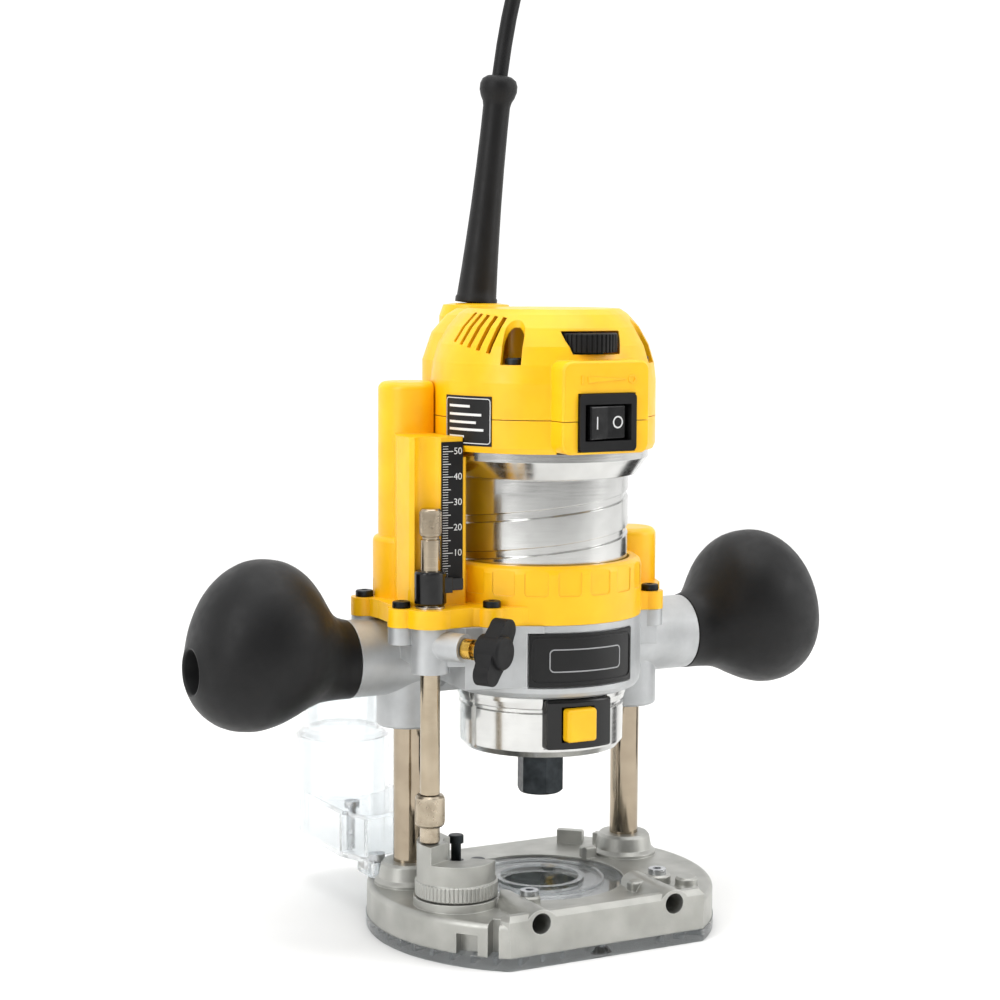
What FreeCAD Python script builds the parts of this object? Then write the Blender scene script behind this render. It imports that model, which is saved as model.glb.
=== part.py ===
"""Plunge router: a 69 mm motor in a two-post plunge base.

Millimetres. Origin on the motor axis at the underside of the sub-base, +Z up, +X to the
right handle, +Y to the back, where the cord leaves. The carriage is at the top of its stroke.
"""
import FreeCAD, Part
import math
import os
from FreeCAD import Vector

# Base
BASE_R = 71.0            # round sides of the base
BASE_FLAT = 56.0         # flat front and back, from the axis
SUB_T = 5.0              # sub-base thickness
DECK_Z = 18.0            # top of the base casting
FRONT_Z = 21.0           # top of its front wall
BIT_R = 16.5             # opening for the bit in the sub-base
OPENING_R = 34.5         # opening in the base casting
ROD_X = 30.0             # fence rod holes, left and right of the axis
ROD_Z = 17.0
ROD_R = 4.1
ROD_DEPTH = 31.0
HOSE_X = -46.5           # hose tube of the dust hood
HOSE_Y = 92.5

# Posts and carriage
POST_X = 51.0
POST_Y = 18.0
POST_R = 6.0
LEFT_POST_TOP = 158.0
RIGHT_POST_TOP = 96.0
STROKE = 55.0
BODY_R = 40.0            # carriage casting round the motor
BODY_Z0 = 100.0
BODY_Z1 = 128.2
HOUSING_R = 12.8
HOUSING_Z0 = 83.0
TOWER_R = 12.1
LEFT_TOWER_TOP = 221.0
RIGHT_TOWER_TOP = 158.0
COLLAR_TOP = 151.0
FLANGE_Z = 135.5         # top of the cover's screw flange
HANDLE_Z = 111.5
ARM_R = 15.5
ARM_END_X = 78.0
HANDLE_END_X = 143.5

# Motor
CAN_R = 34.4
CAN_Z0 = 74.5
CAN_Z1 = 184.0
CAP_Z0 = 195.0
CAP_SEAM = 208.0
CAP_TOP = 250.0
CAP_R = 45.0
NUT_Z0 = 54.0

# Depth stop
TURRET_X = -47.3
TURRET_Y = -17.8
TURRET_R = 16.3
TURRET_Z0 = 21.6
ROD_STOP_X = -58.7
ROD_STOP_Y = -17.3
ROD_STOP_R = 3.9
STEP_TOPS = (43.0, 36.0, 29.5)

# Screw that clamps the depth rod
KNOB_DIR = (0.479, -0.8778)
KNOB_Z = 121.2
KNOB_BOSS = 16.0

# Controls and screws of the motor
LOCK_X = -2.0            # spindle lock on the front of the can
LOCK_Z = 87.0
ROCKER_Z = 207.5
DIAL_Y = -33.2
DIAL_Z = 237.5
DIAL_R = 12.5
SCALE_Y = -14.6          # face of the ruler strip
SCALE_X0 = -52.6
RULER_TOP = 201.0
CAP_SCREW_Z = 229.0
CAP_SCREWS = [(sx * 28.2, y) for y in (-27.5, 31.0) for sx in (-1, 1)]
COVER_SCREWS = ((-68.5, 22.0), (-68.3, -11.5), (-36.5, -26.0), (43.0, -13.5))

# Cord
CORD_R = 3.3
GLAND_X = -8.0
GLAND_Y = 43.0
GAP = 0.3                # clearance between pieces that move past each other

os.makedirs("parts", exist_ok=True)
X_AXIS = Vector(1, 0, 0)
Y_AXIS = Vector(0, 1, 0)
Z_AXIS = Vector(0, 0, 1)


def cyl(r, z0, z1, x=0.0, y=0.0):
    return Part.makeCylinder(r, z1 - z0, Vector(x, y, z0))


def bar(r, start, end):
    """Round bar between two points."""
    a, b = Vector(*start), Vector(*end)
    return Part.makeCylinder(r, (b - a).Length, a, b - a)


def tube(r_out, r_in, z0, z1, x=0.0, y=0.0):
    return cyl(r_out, z0, z1, x, y).cut(cyl(r_in, z0 - 1, z1 + 1, x, y))


def cone(r0, r1, z0, z1, x=0.0, y=0.0):
    return Part.makeCone(r0, r1, z1 - z0, Vector(x, y, z0))


def box(x0, x1, y0, y1, z0, z1):
    return Part.makeBox(x1 - x0, y1 - y0, z1 - z0, Vector(x0, y0, z0))


def prism(points, z0, z1):
    """Upright prism from plan points."""
    ring = [Vector(x, y, z0) for x, y in points]
    return Part.Face(Part.makePolygon(ring + ring[:1])).extrude(Vector(0, 0, z1 - z0))


def turned(profile, x=0.0, y=0.0):
    """Solid of revolution about the vertical through x, y, from (radius, height) points."""
    ring = [Vector(r, 0, z) for r, z in profile]
    face = Part.Face(Part.makePolygon(ring + ring[:1]))
    solid = face.revolve(Vector(0, 0, 0), Z_AXIS, 360)
    solid.translate(Vector(x, y, 0))
    return solid


def spun(shape, degrees, x=0.0, y=0.0):
    copy = shape.copy()
    copy.rotate(Vector(x, y, 0), Z_AXIS, degrees)
    return copy


def fused(*shapes):
    return shapes[0].multiFuse(list(shapes[1:])).removeSplitter()


def upright_edges(shape, points, near=1.5):
    """Vertical edges within a distance of the plan points."""
    found = []
    for edge in shape.Edges:
        box_ = edge.BoundBox
        if box_.ZLength < 0.5 or box_.XLength > 0.01 or box_.YLength > 0.01:
            continue
        for x, y in points:
            if math.hypot(box_.XMin - x, box_.YMin - y) < near:
                found.append(edge)
                break
    return found


def edges_at(shape, z, r_min=0.0, r_max=1e9, x=0.0, y=0.0):
    """Level edges at height z whose middle lies between two distances of x, y."""
    found = []
    for edge in shape.Edges:
        box_ = edge.BoundBox
        if box_.ZLength > 0.01 or abs(box_.ZMin - z) > 0.01:
            continue
        middle = edge.valueAt((edge.FirstParameter + edge.LastParameter) / 2)
        if r_min <= math.hypot(middle.x - x, middle.y - y) <= r_max:
            found.append(edge)
    return found


def save(name, *solids):
    """Write one node; several solids are like pieces that share it."""
    shape = solids[0] if len(solids) == 1 else Part.Compound(list(solids))
    count = len(shape.Solids)
    if not shape.isValid() or count < 1:
        raise ValueError(name + " is not a valid solid")
    shape.exportStep("parts/" + name + ".step")
    print("%-22s %2d solid %10.0f mm3" % (name, count, shape.Volume))


def plate_outline(inset, z0, z1):
    """Round plate with a flat front and back."""
    reach = BASE_R - inset
    flat = BASE_FLAT - inset
    return cyl(reach, z0, z1).common(box(-reach, reach, -flat, flat, z0, z1))


# ---------------------------------------------------------------- base
SUB_SCREWS = ((0.0, -46.0), (-28.0, 46.0), (24.0, 48.0))


def make_sub_base():
    plate = plate_outline(0.0, 0.0, SUB_T)
    plate = plate.makeFillet(0.8, edges_at(plate, 0.0))
    # stiffening ribs: narrow slots between them, open at the top under the casting
    inner = plate_outline(1.4, 2.0, SUB_T + 1)
    slots = []
    for number in range(48):
        slot = box(57.0 if number % 2 else 60.0, 72.0, -0.8, 0.8, 2.0, SUB_T + 1)
        slots.append(spun(slot, number * 7.5 + 2.0).common(inner))
    plate = plate.cut(slots).cut(cyl(BIT_R, -1, SUB_T + 1))
    for x, y in SUB_SCREWS:
        plate = plate.cut([cyl(2.3, -1, SUB_T + 1, x, y), cone(5.0, 2.3, -0.3, 2.6, x, y)])
    save("sub_base", plate)
    screws = []
    for x, y in SUB_SCREWS:
        body = fused(cone(4.2, 2.0, 0.2, 2.4, x, y), cyl(2.0, 2.4, 13.0, x, y))
        socket = [box(x - 2.6, x + 2.6, y - 0.5, y + 0.5, 0, 1.3), box(x - 0.5, x + 0.5, y - 2.6, y + 2.6, 0, 1.3)]
        screws.append(body.cut(socket))
    save("sub_base_screws", *screws)


CLAMP_BOSSES = ((-23.0, -33.2, 4.3), (38.5, -29.0, 5.5), (46.5, -38.5, 4.5))
INSERT_SCREWS = ((15.0, 18.0), (-15.0, -20.0))


def make_base_casting():
    inset = 0.4
    flat = BASE_FLAT - inset
    plate = plate_outline(inset, SUB_T, DECK_Z)
    plate = plate.makeFillet(2.2, edges_at(plate, DECK_Z))
    # front wall stands proud of the deck, with a slope behind it
    wall = prism([(-44.0, -flat), (44.0, -flat), (46.5, -49.0), (-46.5, -49.0)], 12.0, FRONT_Z)
    wall = wall.makeChamfer(2.0, edges_at(wall, FRONT_Z))
    tunnels = [bar(7.0, (x, -flat, ROD_Z - 1.5), (x, -24.0, ROD_Z - 1.5)) for x in (-ROD_X, ROD_X)]
    tunnels = [t.common(box(-90, 90, -90, 90, SUB_T, 40)) for t in tunnels]
    bosses = []
    for x in (-POST_X, POST_X):
        boss = turned([(0, SUB_T), (13.6, SUB_T), (13.6, DECK_Z + 1.2), (12.0, DECK_Z + 2.6), (11.0, 25.8),
                       (10.0, 27.0), (0, 27.0)], x, POST_Y)
        bosses.append(boss)
    limit = plate_outline(inset, SUB_T, 60.0)
    bosses = [boss.common(limit) for boss in bosses]
    seat = fused(cyl(TURRET_R + 0.6, SUB_T, TURRET_Z0 - GAP, TURRET_X, TURRET_Y)).common(limit)
    clamp = [turned([(0, 12), (r + 2, 12), (r, DECK_Z + 1), (r, FRONT_Z), (r - 0.8, FRONT_Z + 0.8),
                     (0, FRONT_Z + 0.8)], x, y) for x, y, r in CLAMP_BOSSES]
    lugs = [box(21.5, 29.0, -37.5, -32.5, 12.0, 22.0),
            box(30.0, 36.5, 15.0, 20.0, 12.0, 23.0)]
    lugs = [lug.makeFillet(1.2, lug.Edges) for lug in lugs]
    # two hooks at the back right take the edge of the dust hood
    hooks = []
    for angle in (30.0, 47.0):
        ring = tube(57.5, 54.0, DECK_Z - 2, 24.0).common(spun(box(40, 70, -5.5, 5.5, DECK_Z - 2, 27), angle))
        hooks.append(ring)
        hooks.append(spun(box(54.0, 61.0, -5.0, -1.5, DECK_Z - 2, 22.5), angle))
    hooks = [hook.common(limit) for hook in hooks]
    casting = fused(plate, wall, seat, *(tunnels + bosses + clamp + lugs + hooks))
    # central opening, with a low rebate for the clear dust cover
    casting = casting.cut([cyl(OPENING_R, 0, 60), cyl(TURRET_R + 0.9, TURRET_Z0 - GAP, 60, TURRET_X, TURRET_Y)])
    # notches beside the turret, in the left front corner
    notches = [spun(box(63.0, 80.0, -2.2, 2.2, SUB_T - 1, DECK_Z + 8), 226.5),
               spun(box(65.5, 80.0, -6.0, 3.0, SUB_T - 1, 13.0), 219.0)]
    casting = casting.cut(notches)
    # blind and through holes
    holes = []
    for x in (-ROD_X, ROD_X):
        holes.append(bar(ROD_R, (x, -70, ROD_Z), (x, -BASE_FLAT + ROD_DEPTH, ROD_Z)))
    for x in (-POST_X, POST_X):
        holes.append(cyl(POST_R, 8.0, 60, x, POST_Y))
    for x, y in SUB_SCREWS:
        holes.append(cyl(2.1, 0, 14.0, x, y))
    holes += [cyl(2.6, 0, 30, TURRET_X, TURRET_Y), cyl(5.0, 0, 9.0, TURRET_X, TURRET_Y)]
    for x, y, r in CLAMP_BOSSES[:2]:
        holes.append(cyl(2.6, 12.5, 40, x, y))
    holes.append(cyl(2.2, 12.0, 40, -58.0, 33.0))
    casting = casting.cut(holes)
    # weight-saving pockets under the deck, closed by the sub-base
    pockets = []
    for angle, reach in ((62.0, 62.0), (90.0, 52.0), (118.0, 52.0), (-18.0, 64.0), (-4.0, 64.0), (172.0, 48.0)):
        pocket = box(38.5, reach, -4.0, 4.0, SUB_T - 1, 13.5)
        pockets.append(spun(pocket.makeFillet(2.0, [e for e in pocket.Edges if e.BoundBox.ZLength > 1]), angle))
    casting = casting.cut(pockets)
    save("base_casting", casting)
    screws = []
    for x, y, r in CLAMP_BOSSES[:2]:
        head_z = FRONT_Z + 0.85
        body = fused(cyl(3.6, head_z, head_z + 2.0, x, y), cyl(2.5, 13.0, head_z, x, y))
        body = body.cut(Part.makeCylinder(1.6, 2.0, Vector(x, y, head_z + 0.8)))
        screws.append(body)
    save("fence_clamp_screws", *screws)


def make_posts():
    sides = (("guide_post_left", -POST_X, LEFT_POST_TOP), ("guide_post_right", POST_X, RIGHT_POST_TOP))
    for name, x, top in sides:
        post = cyl(POST_R, 8.0, top, x, POST_Y)
        post = post.makeChamfer(0.6, edges_at(post, top))
        post = post.cut(cyl(4.7, 30.0, top + 1, x, POST_Y))
        save(name, post)


def make_dust_parts():
    # clear cover that fills the opening in the casting, open underneath
    cover = turned([(17.6, 5.3), (16.0, 5.3), (16.0, 17.3), (34.0, 17.3), (34.0, 15.3), (34.0, 5.3),
                    (32.0, 5.3), (32.0, 15.3), (17.6, 15.3)])
    rib = tube(26.5, 25.3, 17.2, 18.4)
    cover = fused(cover, rib, tube(18.2, 16.0, 17.2, 18.8))
    posts = [cyl(4.0, 5.3, 16.0, x, y).cut([cyl(1.7, 4, 12.5, x, y), cyl(3.0, 4, 7.02, x, y)])
             for x, y in INSERT_SCREWS]
    cover = fused(cover, *posts)
    save("dust_cover", cover)
    # hood: box-like chamber behind the left post, with a hose tube on top
    outline = [(-66.0, 92.5), (-66.0, 52.0), (-60.5, 37.0), (-46.0, 40.0), (-26.6, 56.6), (-26.6, 92.5)]
    inner = [(-64.2, 92.5), (-64.2, 52.4), (-59.3, 39.0), (-46.7, 41.8), (-28.4, 57.5), (-28.4, 92.5)]
    tube_x, tube_y = HOSE_X, HOSE_Y
    chamber = fused(prism(outline, 22.0, 41.5), cyl(20.2, 22.0, 41.5, tube_x, tube_y))
    chamber = chamber.makeFillet(3.0, upright_edges(chamber, outline[1:5]))
    neck = turned([(0, 41.0), (20.2, 41.0), (20.2, 65.0), (18.0, 67.0), (16.4, 68.0), (16.4, 103.0), (0, 103.0)],
                  tube_x, tube_y)
    foot = fused(box(-62.5, -54.0, 28.5, 42.0, DECK_Z + 0.2, 24.0), cyl(4.2, DECK_Z + 0.2, 24.0, -58.0, 33.0))
    hood = fused(chamber, neck, foot)
    hollow = fused(prism(inner, 23.8, 39.7), cyl(18.4, 23.8, 39.7, tube_x, tube_y))
    bore = turned([(0, 39.0), (18.4, 39.0), (18.4, 64.5), (14.8, 66.8), (14.8, 104.0), (0, 104.0)], tube_x, tube_y)
    hood = hood.cut([hollow, bore, cyl(14.0, 10, 40, -POST_X, POST_Y), cyl(2.2, 10, 30, -58.0, 33.0),
                     cyl(1.8, 20, 45, -58.6, 56.0)])
    save("dust_hood", hood)
    # a thumb screw fixes the foot to the deck, a long one joins the chamber's halves
    foot_screw = fused(cyl(3.4, 24.05, 27.0, -58.0, 33.0), cyl(2.15, 13.0, 24.05, -58.0, 33.0))
    long_screw = fused(cyl(3.2, 41.55, 44.0, -58.6, 56.0), cyl(1.75, 22.5, 41.55, -58.6, 56.0))
    save("hood_screws", foot_screw, long_screw)
    brass = []
    for x, y in INSERT_SCREWS:
        brass.append(fused(cyl(2.9, 5.3, 7.0, x, y).cut(box(x - 3, x + 3, y - 0.4, y + 0.4, 5.2, 6.0)),
                           cyl(1.65, 7.0, 12.3, x, y)))
    save("insert_screws", *brass)


# ---------------------------------------------------------------- depth stop turret
def make_turret():
    x, y = TURRET_X, TURRET_Y
    ring = turned([(0, TURRET_Z0), (TURRET_R - 0.6, TURRET_Z0), (TURRET_R, TURRET_Z0 + 0.6), (TURRET_R, 27.4),
                   (TURRET_R - 0.6, 28.0), (0, 28.0)], x, y)
    cuts = []
    for number in range(60):
        wedge = prism([(TURRET_R - 0.55, 0), (TURRET_R + 1, -0.85), (TURRET_R + 1, 0.85)], TURRET_Z0 - 1, 28.2)
        wedge.translate(Vector(x, y, 0))
        cuts.append(spun(wedge, number * 6.0, x, y))
    ring = ring.cut(cuts)
    # three steps: high to the left, middle in front, low to the right and behind
    steps = []
    sectors = ((92.0, 112.0, STEP_TOPS[0]), (204.0, 116.0, STEP_TOPS[1]), (320.0, 132.0, STEP_TOPS[2]))
    for start, sweep, top in sectors:
        sector = Part.makeCylinder(15.6, top - 27.5, Vector(x, y, 27.5), Z_AXIS, sweep)
        steps.append(spun(sector, start, x, y))
    turret = fused(ring, *steps)
    turret = turret.cut([cyl(3.0, TURRET_Z0 - 1, 60, x, y), cyl(5.4, 31.0, 60, x, y)])
    stops = [(x + 9.4 * math.cos(math.radians(a)), y + 9.4 * math.sin(math.radians(a)), top)
             for a, top in ((64.0, STEP_TOPS[2]), (0.0, STEP_TOPS[2]))]
    turret = turret.cut([cyl(2.05, 23.5, 60, sx, sy) for sx, sy, top in stops])
    save("stop_turret", turret)
    tops = (42.8, 34.5)
    screws = []
    for (sx, sy, base), top in zip(stops, tops):
        head = cyl(3.0, top - 3.2, top, sx, sy)
        head = head.makeFillet(0.5, edges_at(head, top))
        corners = [math.radians(60.0 * k) for k in range(6)]
        nut_points = [(sx + 3.4 * math.cos(a), sy + 3.4 * math.sin(a)) for a in corners]
        nut = prism(nut_points, base + 0.02, base + 1.5 if top < 40 else base + 3.0)
        screws.append(fused(head, cyl(2.0, 24.0, top - 3.2, sx, sy), nut))
    save("turret_stop_screws", *screws)
    # pivot: shoulder screw from below, riveted over a washer sunk in the turret
    pivot = fused(cyl(4.6, 5.3, 8.9, x, y), cyl(2.55, 8.9, 34.0, x, y), cyl(4.6, 31.3, 33.0, x, y))
    save("turret_pivot_screw", pivot)


def make_depth_rod():
    x, y, r = ROD_STOP_X, ROD_STOP_Y, ROD_STOP_R
    rod = turned([(0, 62.6), (r, 62.6), (r, 162.0), (3.4, 162.4), (3.4, 163.2), (4.0, 163.6), (4.0, 173.4),
                  (3.5, 174.0), (0, 174.0)], x, y)
    stud = cyl(2.4, 52.0, 62.8, x, y)
    save("depth_rod", fused(rod, stud))
    # knurled foot that screws on the lower end for fine setting
    foot = turned([(0, STEP_TOPS[0] + GAP), (3.4, STEP_TOPS[0] + GAP), (3.9, 43.9), (3.9, 49.5), (5.0, 50.0),
                   (5.7, 50.8), (5.7, 61.4), (5.0, 62.3), (0, 62.3)], x, y)
    foot = foot.cut(cyl(2.5, 51.6, 63, x, y))
    save("fine_adjuster", foot)
    # pointer: clamp block round the rod with a flag across the ruler
    block = turned([(4.2, 136.9), (5.7, 136.9), (6.2, 137.6), (6.2, 149.2), (5.7, 150.0), (4.2, 150.0)], x, y)
    flag = box(x + 3.0, x + 14.4, SCALE_Y - 2.3, SCALE_Y - 0.5, 141.6, 146.4)
    flag = flag.makeFillet(0.6, [e for e in flag.Edges if e.BoundBox.YLength > 1])
    web = box(x + 1.0, x + 7.2, y - 4.8, SCALE_Y - 0.5, 141.6, 147.6)
    pointer = fused(block, web, flag).cut(cyl(4.2, 130, 160, x, y))
    save("rod_pointer", pointer)
    save("pointer_washer", tube(5.6, 4.15, FLANGE_Z + 0.02, FLANGE_Z + 0.8, x, y))


# ---------------------------------------------------------------- carriage
def make_carriage():
    body = turned([(CAN_R + 0.02, BODY_Z0 - 1.4), (BODY_R - 4.0, BODY_Z0 - 1.4), (BODY_R - 1.4, BODY_Z0 - 0.2),
                   (BODY_R - 0.3, BODY_Z0 + 1.4), (BODY_R, BODY_Z0 + 3.2), (BODY_R, BODY_Z1),
                   (CAN_R + 0.02, BODY_Z1)])
    parts = [body]
    for side in (-1, 1):
        x = side * POST_X
        housing = cyl(HOUSING_R, HOUSING_Z0, BODY_Z1, x, POST_Y)
        housing = housing.makeFillet(1.5, edges_at(housing, HOUSING_Z0))
        arm = bar(ARM_R, (side * 40.0, POST_Y, HANDLE_Z), (side * ARM_END_X, POST_Y, HANDLE_Z))
        spigot = bar(9.0, (side * 60.0, POST_Y, HANDLE_Z), (side * 104.0, POST_Y, HANDLE_Z))
        web = box(min(side * 30.0, x), max(side * 30.0, x), POST_Y - 9.0, POST_Y + 9.0, 97.0, BODY_Z1)
        flank = prism([(side * 20.0, -32.0), (x, POST_Y - 12.0), (x, POST_Y + 12.0), (side * 20.0, 32.0)],
                      104.0, BODY_Z1)
        parts += [housing, arm, spigot, web, flank]
    # sleeve for the depth rod, its web and the ear of the clamp screw
    sleeve = cyl(7.4, 110.3, BODY_Z1, ROD_STOP_X, ROD_STOP_Y)
    sleeve_web = prism([(-60.0, 12.0), (-64.5, -12.0), (-60.0, -21.0), (-46.0, -26.5), (-34.0, 8.0)],
                       113.0, BODY_Z1)
    wall = prism([(-46.0, 8.0), (-48.0, -26.0), (-30.0, -31.0), (-19.0, -36.5), (-16.0, 8.0)], 104.0, BODY_Z1)
    rod_axis = Vector(ROD_STOP_X, ROD_STOP_Y, KNOB_Z)
    boss = Part.makeCylinder(5.6, KNOB_BOSS, rod_axis, Vector(KNOB_DIR[0], KNOB_DIR[1], 0))
    parts += [sleeve, sleeve_web, wall, boss]
    # lobes under the cover's screws
    for x, y in COVER_SCREWS:
        parts.append(cyl(5.2, 121.5, BODY_Z1, x, y))
    right_web = [(30.0, -16.0), (44.0, -18.0), (47.5, -10.0), (40.0, 4.0), (30.0, 4.0)]
    parts.append(prism(right_web, 114.0, BODY_Z1))
    # split boss for the motor clamp at the back
    parts.append(box(-13.0, 13.0, 30.0, 50.0, 104.0, 121.0))
    casting = fused(*parts)
    cuts = [cyl(CAN_R + 0.02, 60, 200), box(-1.2, 1.2, 30.0, 60.0, 90.0, 140.0)]
    for side in (-1, 1):
        x = side * POST_X
        cuts += [cyl(8.02, HOUSING_Z0 + 1.5, 140, x, POST_Y), cyl(POST_R + 0.35, 70, 140, x, POST_Y)]
        cuts.append(bar(3.1, (side * 80.0, POST_Y, HANDLE_Z), (side * 110.0, POST_Y, HANDLE_Z)))
    cuts.append(cyl(ROD_STOP_R + 0.06, 100, 140, ROD_STOP_X, ROD_STOP_Y))
    cuts.append(cyl(6.2, 100, 118.2, ROD_STOP_X, ROD_STOP_Y))
    cuts.append(Part.makeCylinder(2.55, 40.0, rod_axis, Vector(KNOB_DIR[0], KNOB_DIR[1], 0)))
    for x, y in COVER_SCREWS:
        cuts.append(cyl(1.7, 123.0, 140, x, y))
    cuts.append(bar(3.1, (-30.0, 44.0, 114.0), (30.0, 44.0, 114.0)))
    # shallow seat for the badge
    seat = tube(BODY_R + 3, BODY_R - 0.8, 103.6, 125.4).common(
        spun(prism([(0, 0), (80, -55.0), (80, 55.0)], 100, 130), -92.0))
    cuts.append(seat)
    casting = casting.cut(cuts)
    save("carriage_casting", casting)
    badge = tube(BODY_R + 0.5, BODY_R - 0.78, 104.1, 124.9).common(
        spun(prism([(0, 0), (80, -53.7), (80, 53.7)], 100, 130), -92.0))
    save("badge_plate", badge)
    bushes = []
    for x in (-POST_X, POST_X):
        bushes.append(tube(7.98, POST_R + 0.04, HOUSING_Z0 + 1.55, HOUSING_Z0 + 11.5, x, POST_Y))
    bushes.append(tube(7.98, POST_R + 0.04, 118.0, 128.0, -POST_X, POST_Y))
    save("post_bushings", *bushes)


def black_screw(x, y, seat_z):
    """Round-head screw that stands on a seat, with a socket in its head."""
    body = fused(cyl(3.5, seat_z + 0.02, seat_z + 2.6, x, y), cyl(1.65, seat_z - 12.0, seat_z + 0.02, x, y))
    body = body.makeFillet(0.7, edges_at(body, seat_z + 2.6))
    return body.cut(cyl(1.3, seat_z + 1.2, seat_z + 4, x, y))


def make_cover():
    """Yellow moulding on top of the casting: collar, towers, flange and ruler box."""
    z0 = BODY_Z1 + 0.05
    ring = turned([(CAN_R + 0.9, z0), (BODY_R + 0.1, z0), (BODY_R + 0.1, COLLAR_TOP - 3.0),
                   (BODY_R - 0.6, COLLAR_TOP - 1.0), (BODY_R - 2.0, COLLAR_TOP), (CAN_R + 0.9, COLLAR_TOP)])
    flange = prism([(-60.0, 27.0), (-70.0, 26.0), (-68.0, 10.0), (-69.0, -4.0), (-66.0, -20.0), (-54.0, -25.5),
                    (-44.0, -25.0), (-34.0, -30.5), (-26.0, -31.5), (-14.0, -36.0), (-14.0, 26.0)], z0, FLANGE_Z)
    right = prism([(30.0, -16.0), (44.0, -18.5), (48.0, -8.0), (60.0, 6.0), (63.0, 14.0), (62.5, 26.0),
                   (30.0, 26.0)], z0, FLANGE_Z)
    lobes = [cyl(5.4, z0, FLANGE_Z, x, y) for x, y in COVER_SCREWS]
    lobes.append(cyl(9.4, z0, FLANGE_Z, ROD_STOP_X, ROD_STOP_Y))
    left_low = cyl(14.2, z0, 160.0, -POST_X, POST_Y)
    left_low = left_low.makeFillet(2.4, edges_at(left_low, 160.0))
    left_high = cyl(TOWER_R, z0, LEFT_TOWER_TOP, -POST_X, POST_Y)
    left_high = left_high.makeFillet(3.0, edges_at(left_high, LEFT_TOWER_TOP))
    right_tower = cyl(TOWER_R, z0, RIGHT_TOWER_TOP, POST_X, POST_Y)
    right_tower = right_tower.makeFillet(3.0, edges_at(right_tower, RIGHT_TOWER_TOP))
    webs = [box(-POST_X, -30.0, POST_Y - 8.0, POST_Y + 8.0, z0, COLLAR_TOP - 2),
            box(30.0, POST_X, POST_Y - 9.0, POST_Y + 9.0, z0, 148.0)]
    # ruler box: a slab in front of the tower that carries the scale
    front = SCALE_Y + 0.2
    slab = prism([(-61.0, 10.0), (-64.6, 0.0), (-64.6, -11.0), (-61.0, front), (-42.4, front), (-41.4, front + 1.0),
                  (-37.2, 10.0)], z0, RULER_TOP)
    slab = slab.makeFillet(1.2, upright_edges(slab, [(-64.6, -11.0), (-61.0, front)]))
    link = box(-58.0, -42.0, 4.0, POST_Y, z0, RULER_TOP)
    cover = fused(ring, flange, right, left_low, left_high, right_tower, slab, link, *(lobes + webs))
    cuts = [cyl(CAN_R + 0.9, 100, 300)]
    cuts.append(cyl(7.0, 100, LEFT_TOWER_TOP - 2.5, -POST_X, POST_Y))
    cuts.append(cyl(7.0, 100, RIGHT_TOWER_TOP - 2.3, POST_X, POST_Y))
    cuts.append(cyl(ROD_STOP_R + 0.25, 100, 140, ROD_STOP_X, ROD_STOP_Y))
    # groove that clears the rod's knurled top and the pointer above the flange
    cuts.append(cyl(6.55, FLANGE_Z, 260, ROD_STOP_X, ROD_STOP_Y))
    cuts += [cyl(1.9, 100, 140, x, y) for x, y in COVER_SCREWS]
    cuts += [cyl(4.1, FLANGE_Z, 142.0, x, y) for x, y in COVER_SCREWS]
    # seat of the ruler strip
    cuts.append(box(SCALE_X0 - 0.1, SCALE_X0 + 9.3, -20.0, SCALE_Y + 0.75, 142.2, 199.1))
    # shallow windows round the collar
    for number in range(12):
        window = box(BODY_R - 0.5, BODY_R + 2, -4.6, 4.6, COLLAR_TOP - 11.5, COLLAR_TOP + 1)
        window = window.makeFillet(1.4, [e for e in window.Edges if e.BoundBox.XLength > 2])
        cuts.append(spun(window, number * 19.0 - 160.0))
    # the cap of the motor overhangs the top of the ruler box
    cuts += [cyl(43.2, 183.0, 196.0), cyl(CAP_R + 0.75, 193.0, 260), box(-40.7, 40.7, -6.0, 60.0, 193.0, 260)]
    cover = cover.cut(cuts)
    solids = sorted(cover.Solids, key=lambda s: s.Volume)
    save("collar_cover", solids[-1])
    scale = box(SCALE_X0, SCALE_X0 + 9.2, SCALE_Y, SCALE_Y + 0.7, 142.3, 199.0)
    save("depth_scale", scale)
    save("cover_screws", *([black_screw(x, y, FLANGE_Z) for x, y in COVER_SCREWS]
                           + [black_screw(x, y, CAP_SCREW_Z) for x, y in CAP_SCREWS]))


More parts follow.
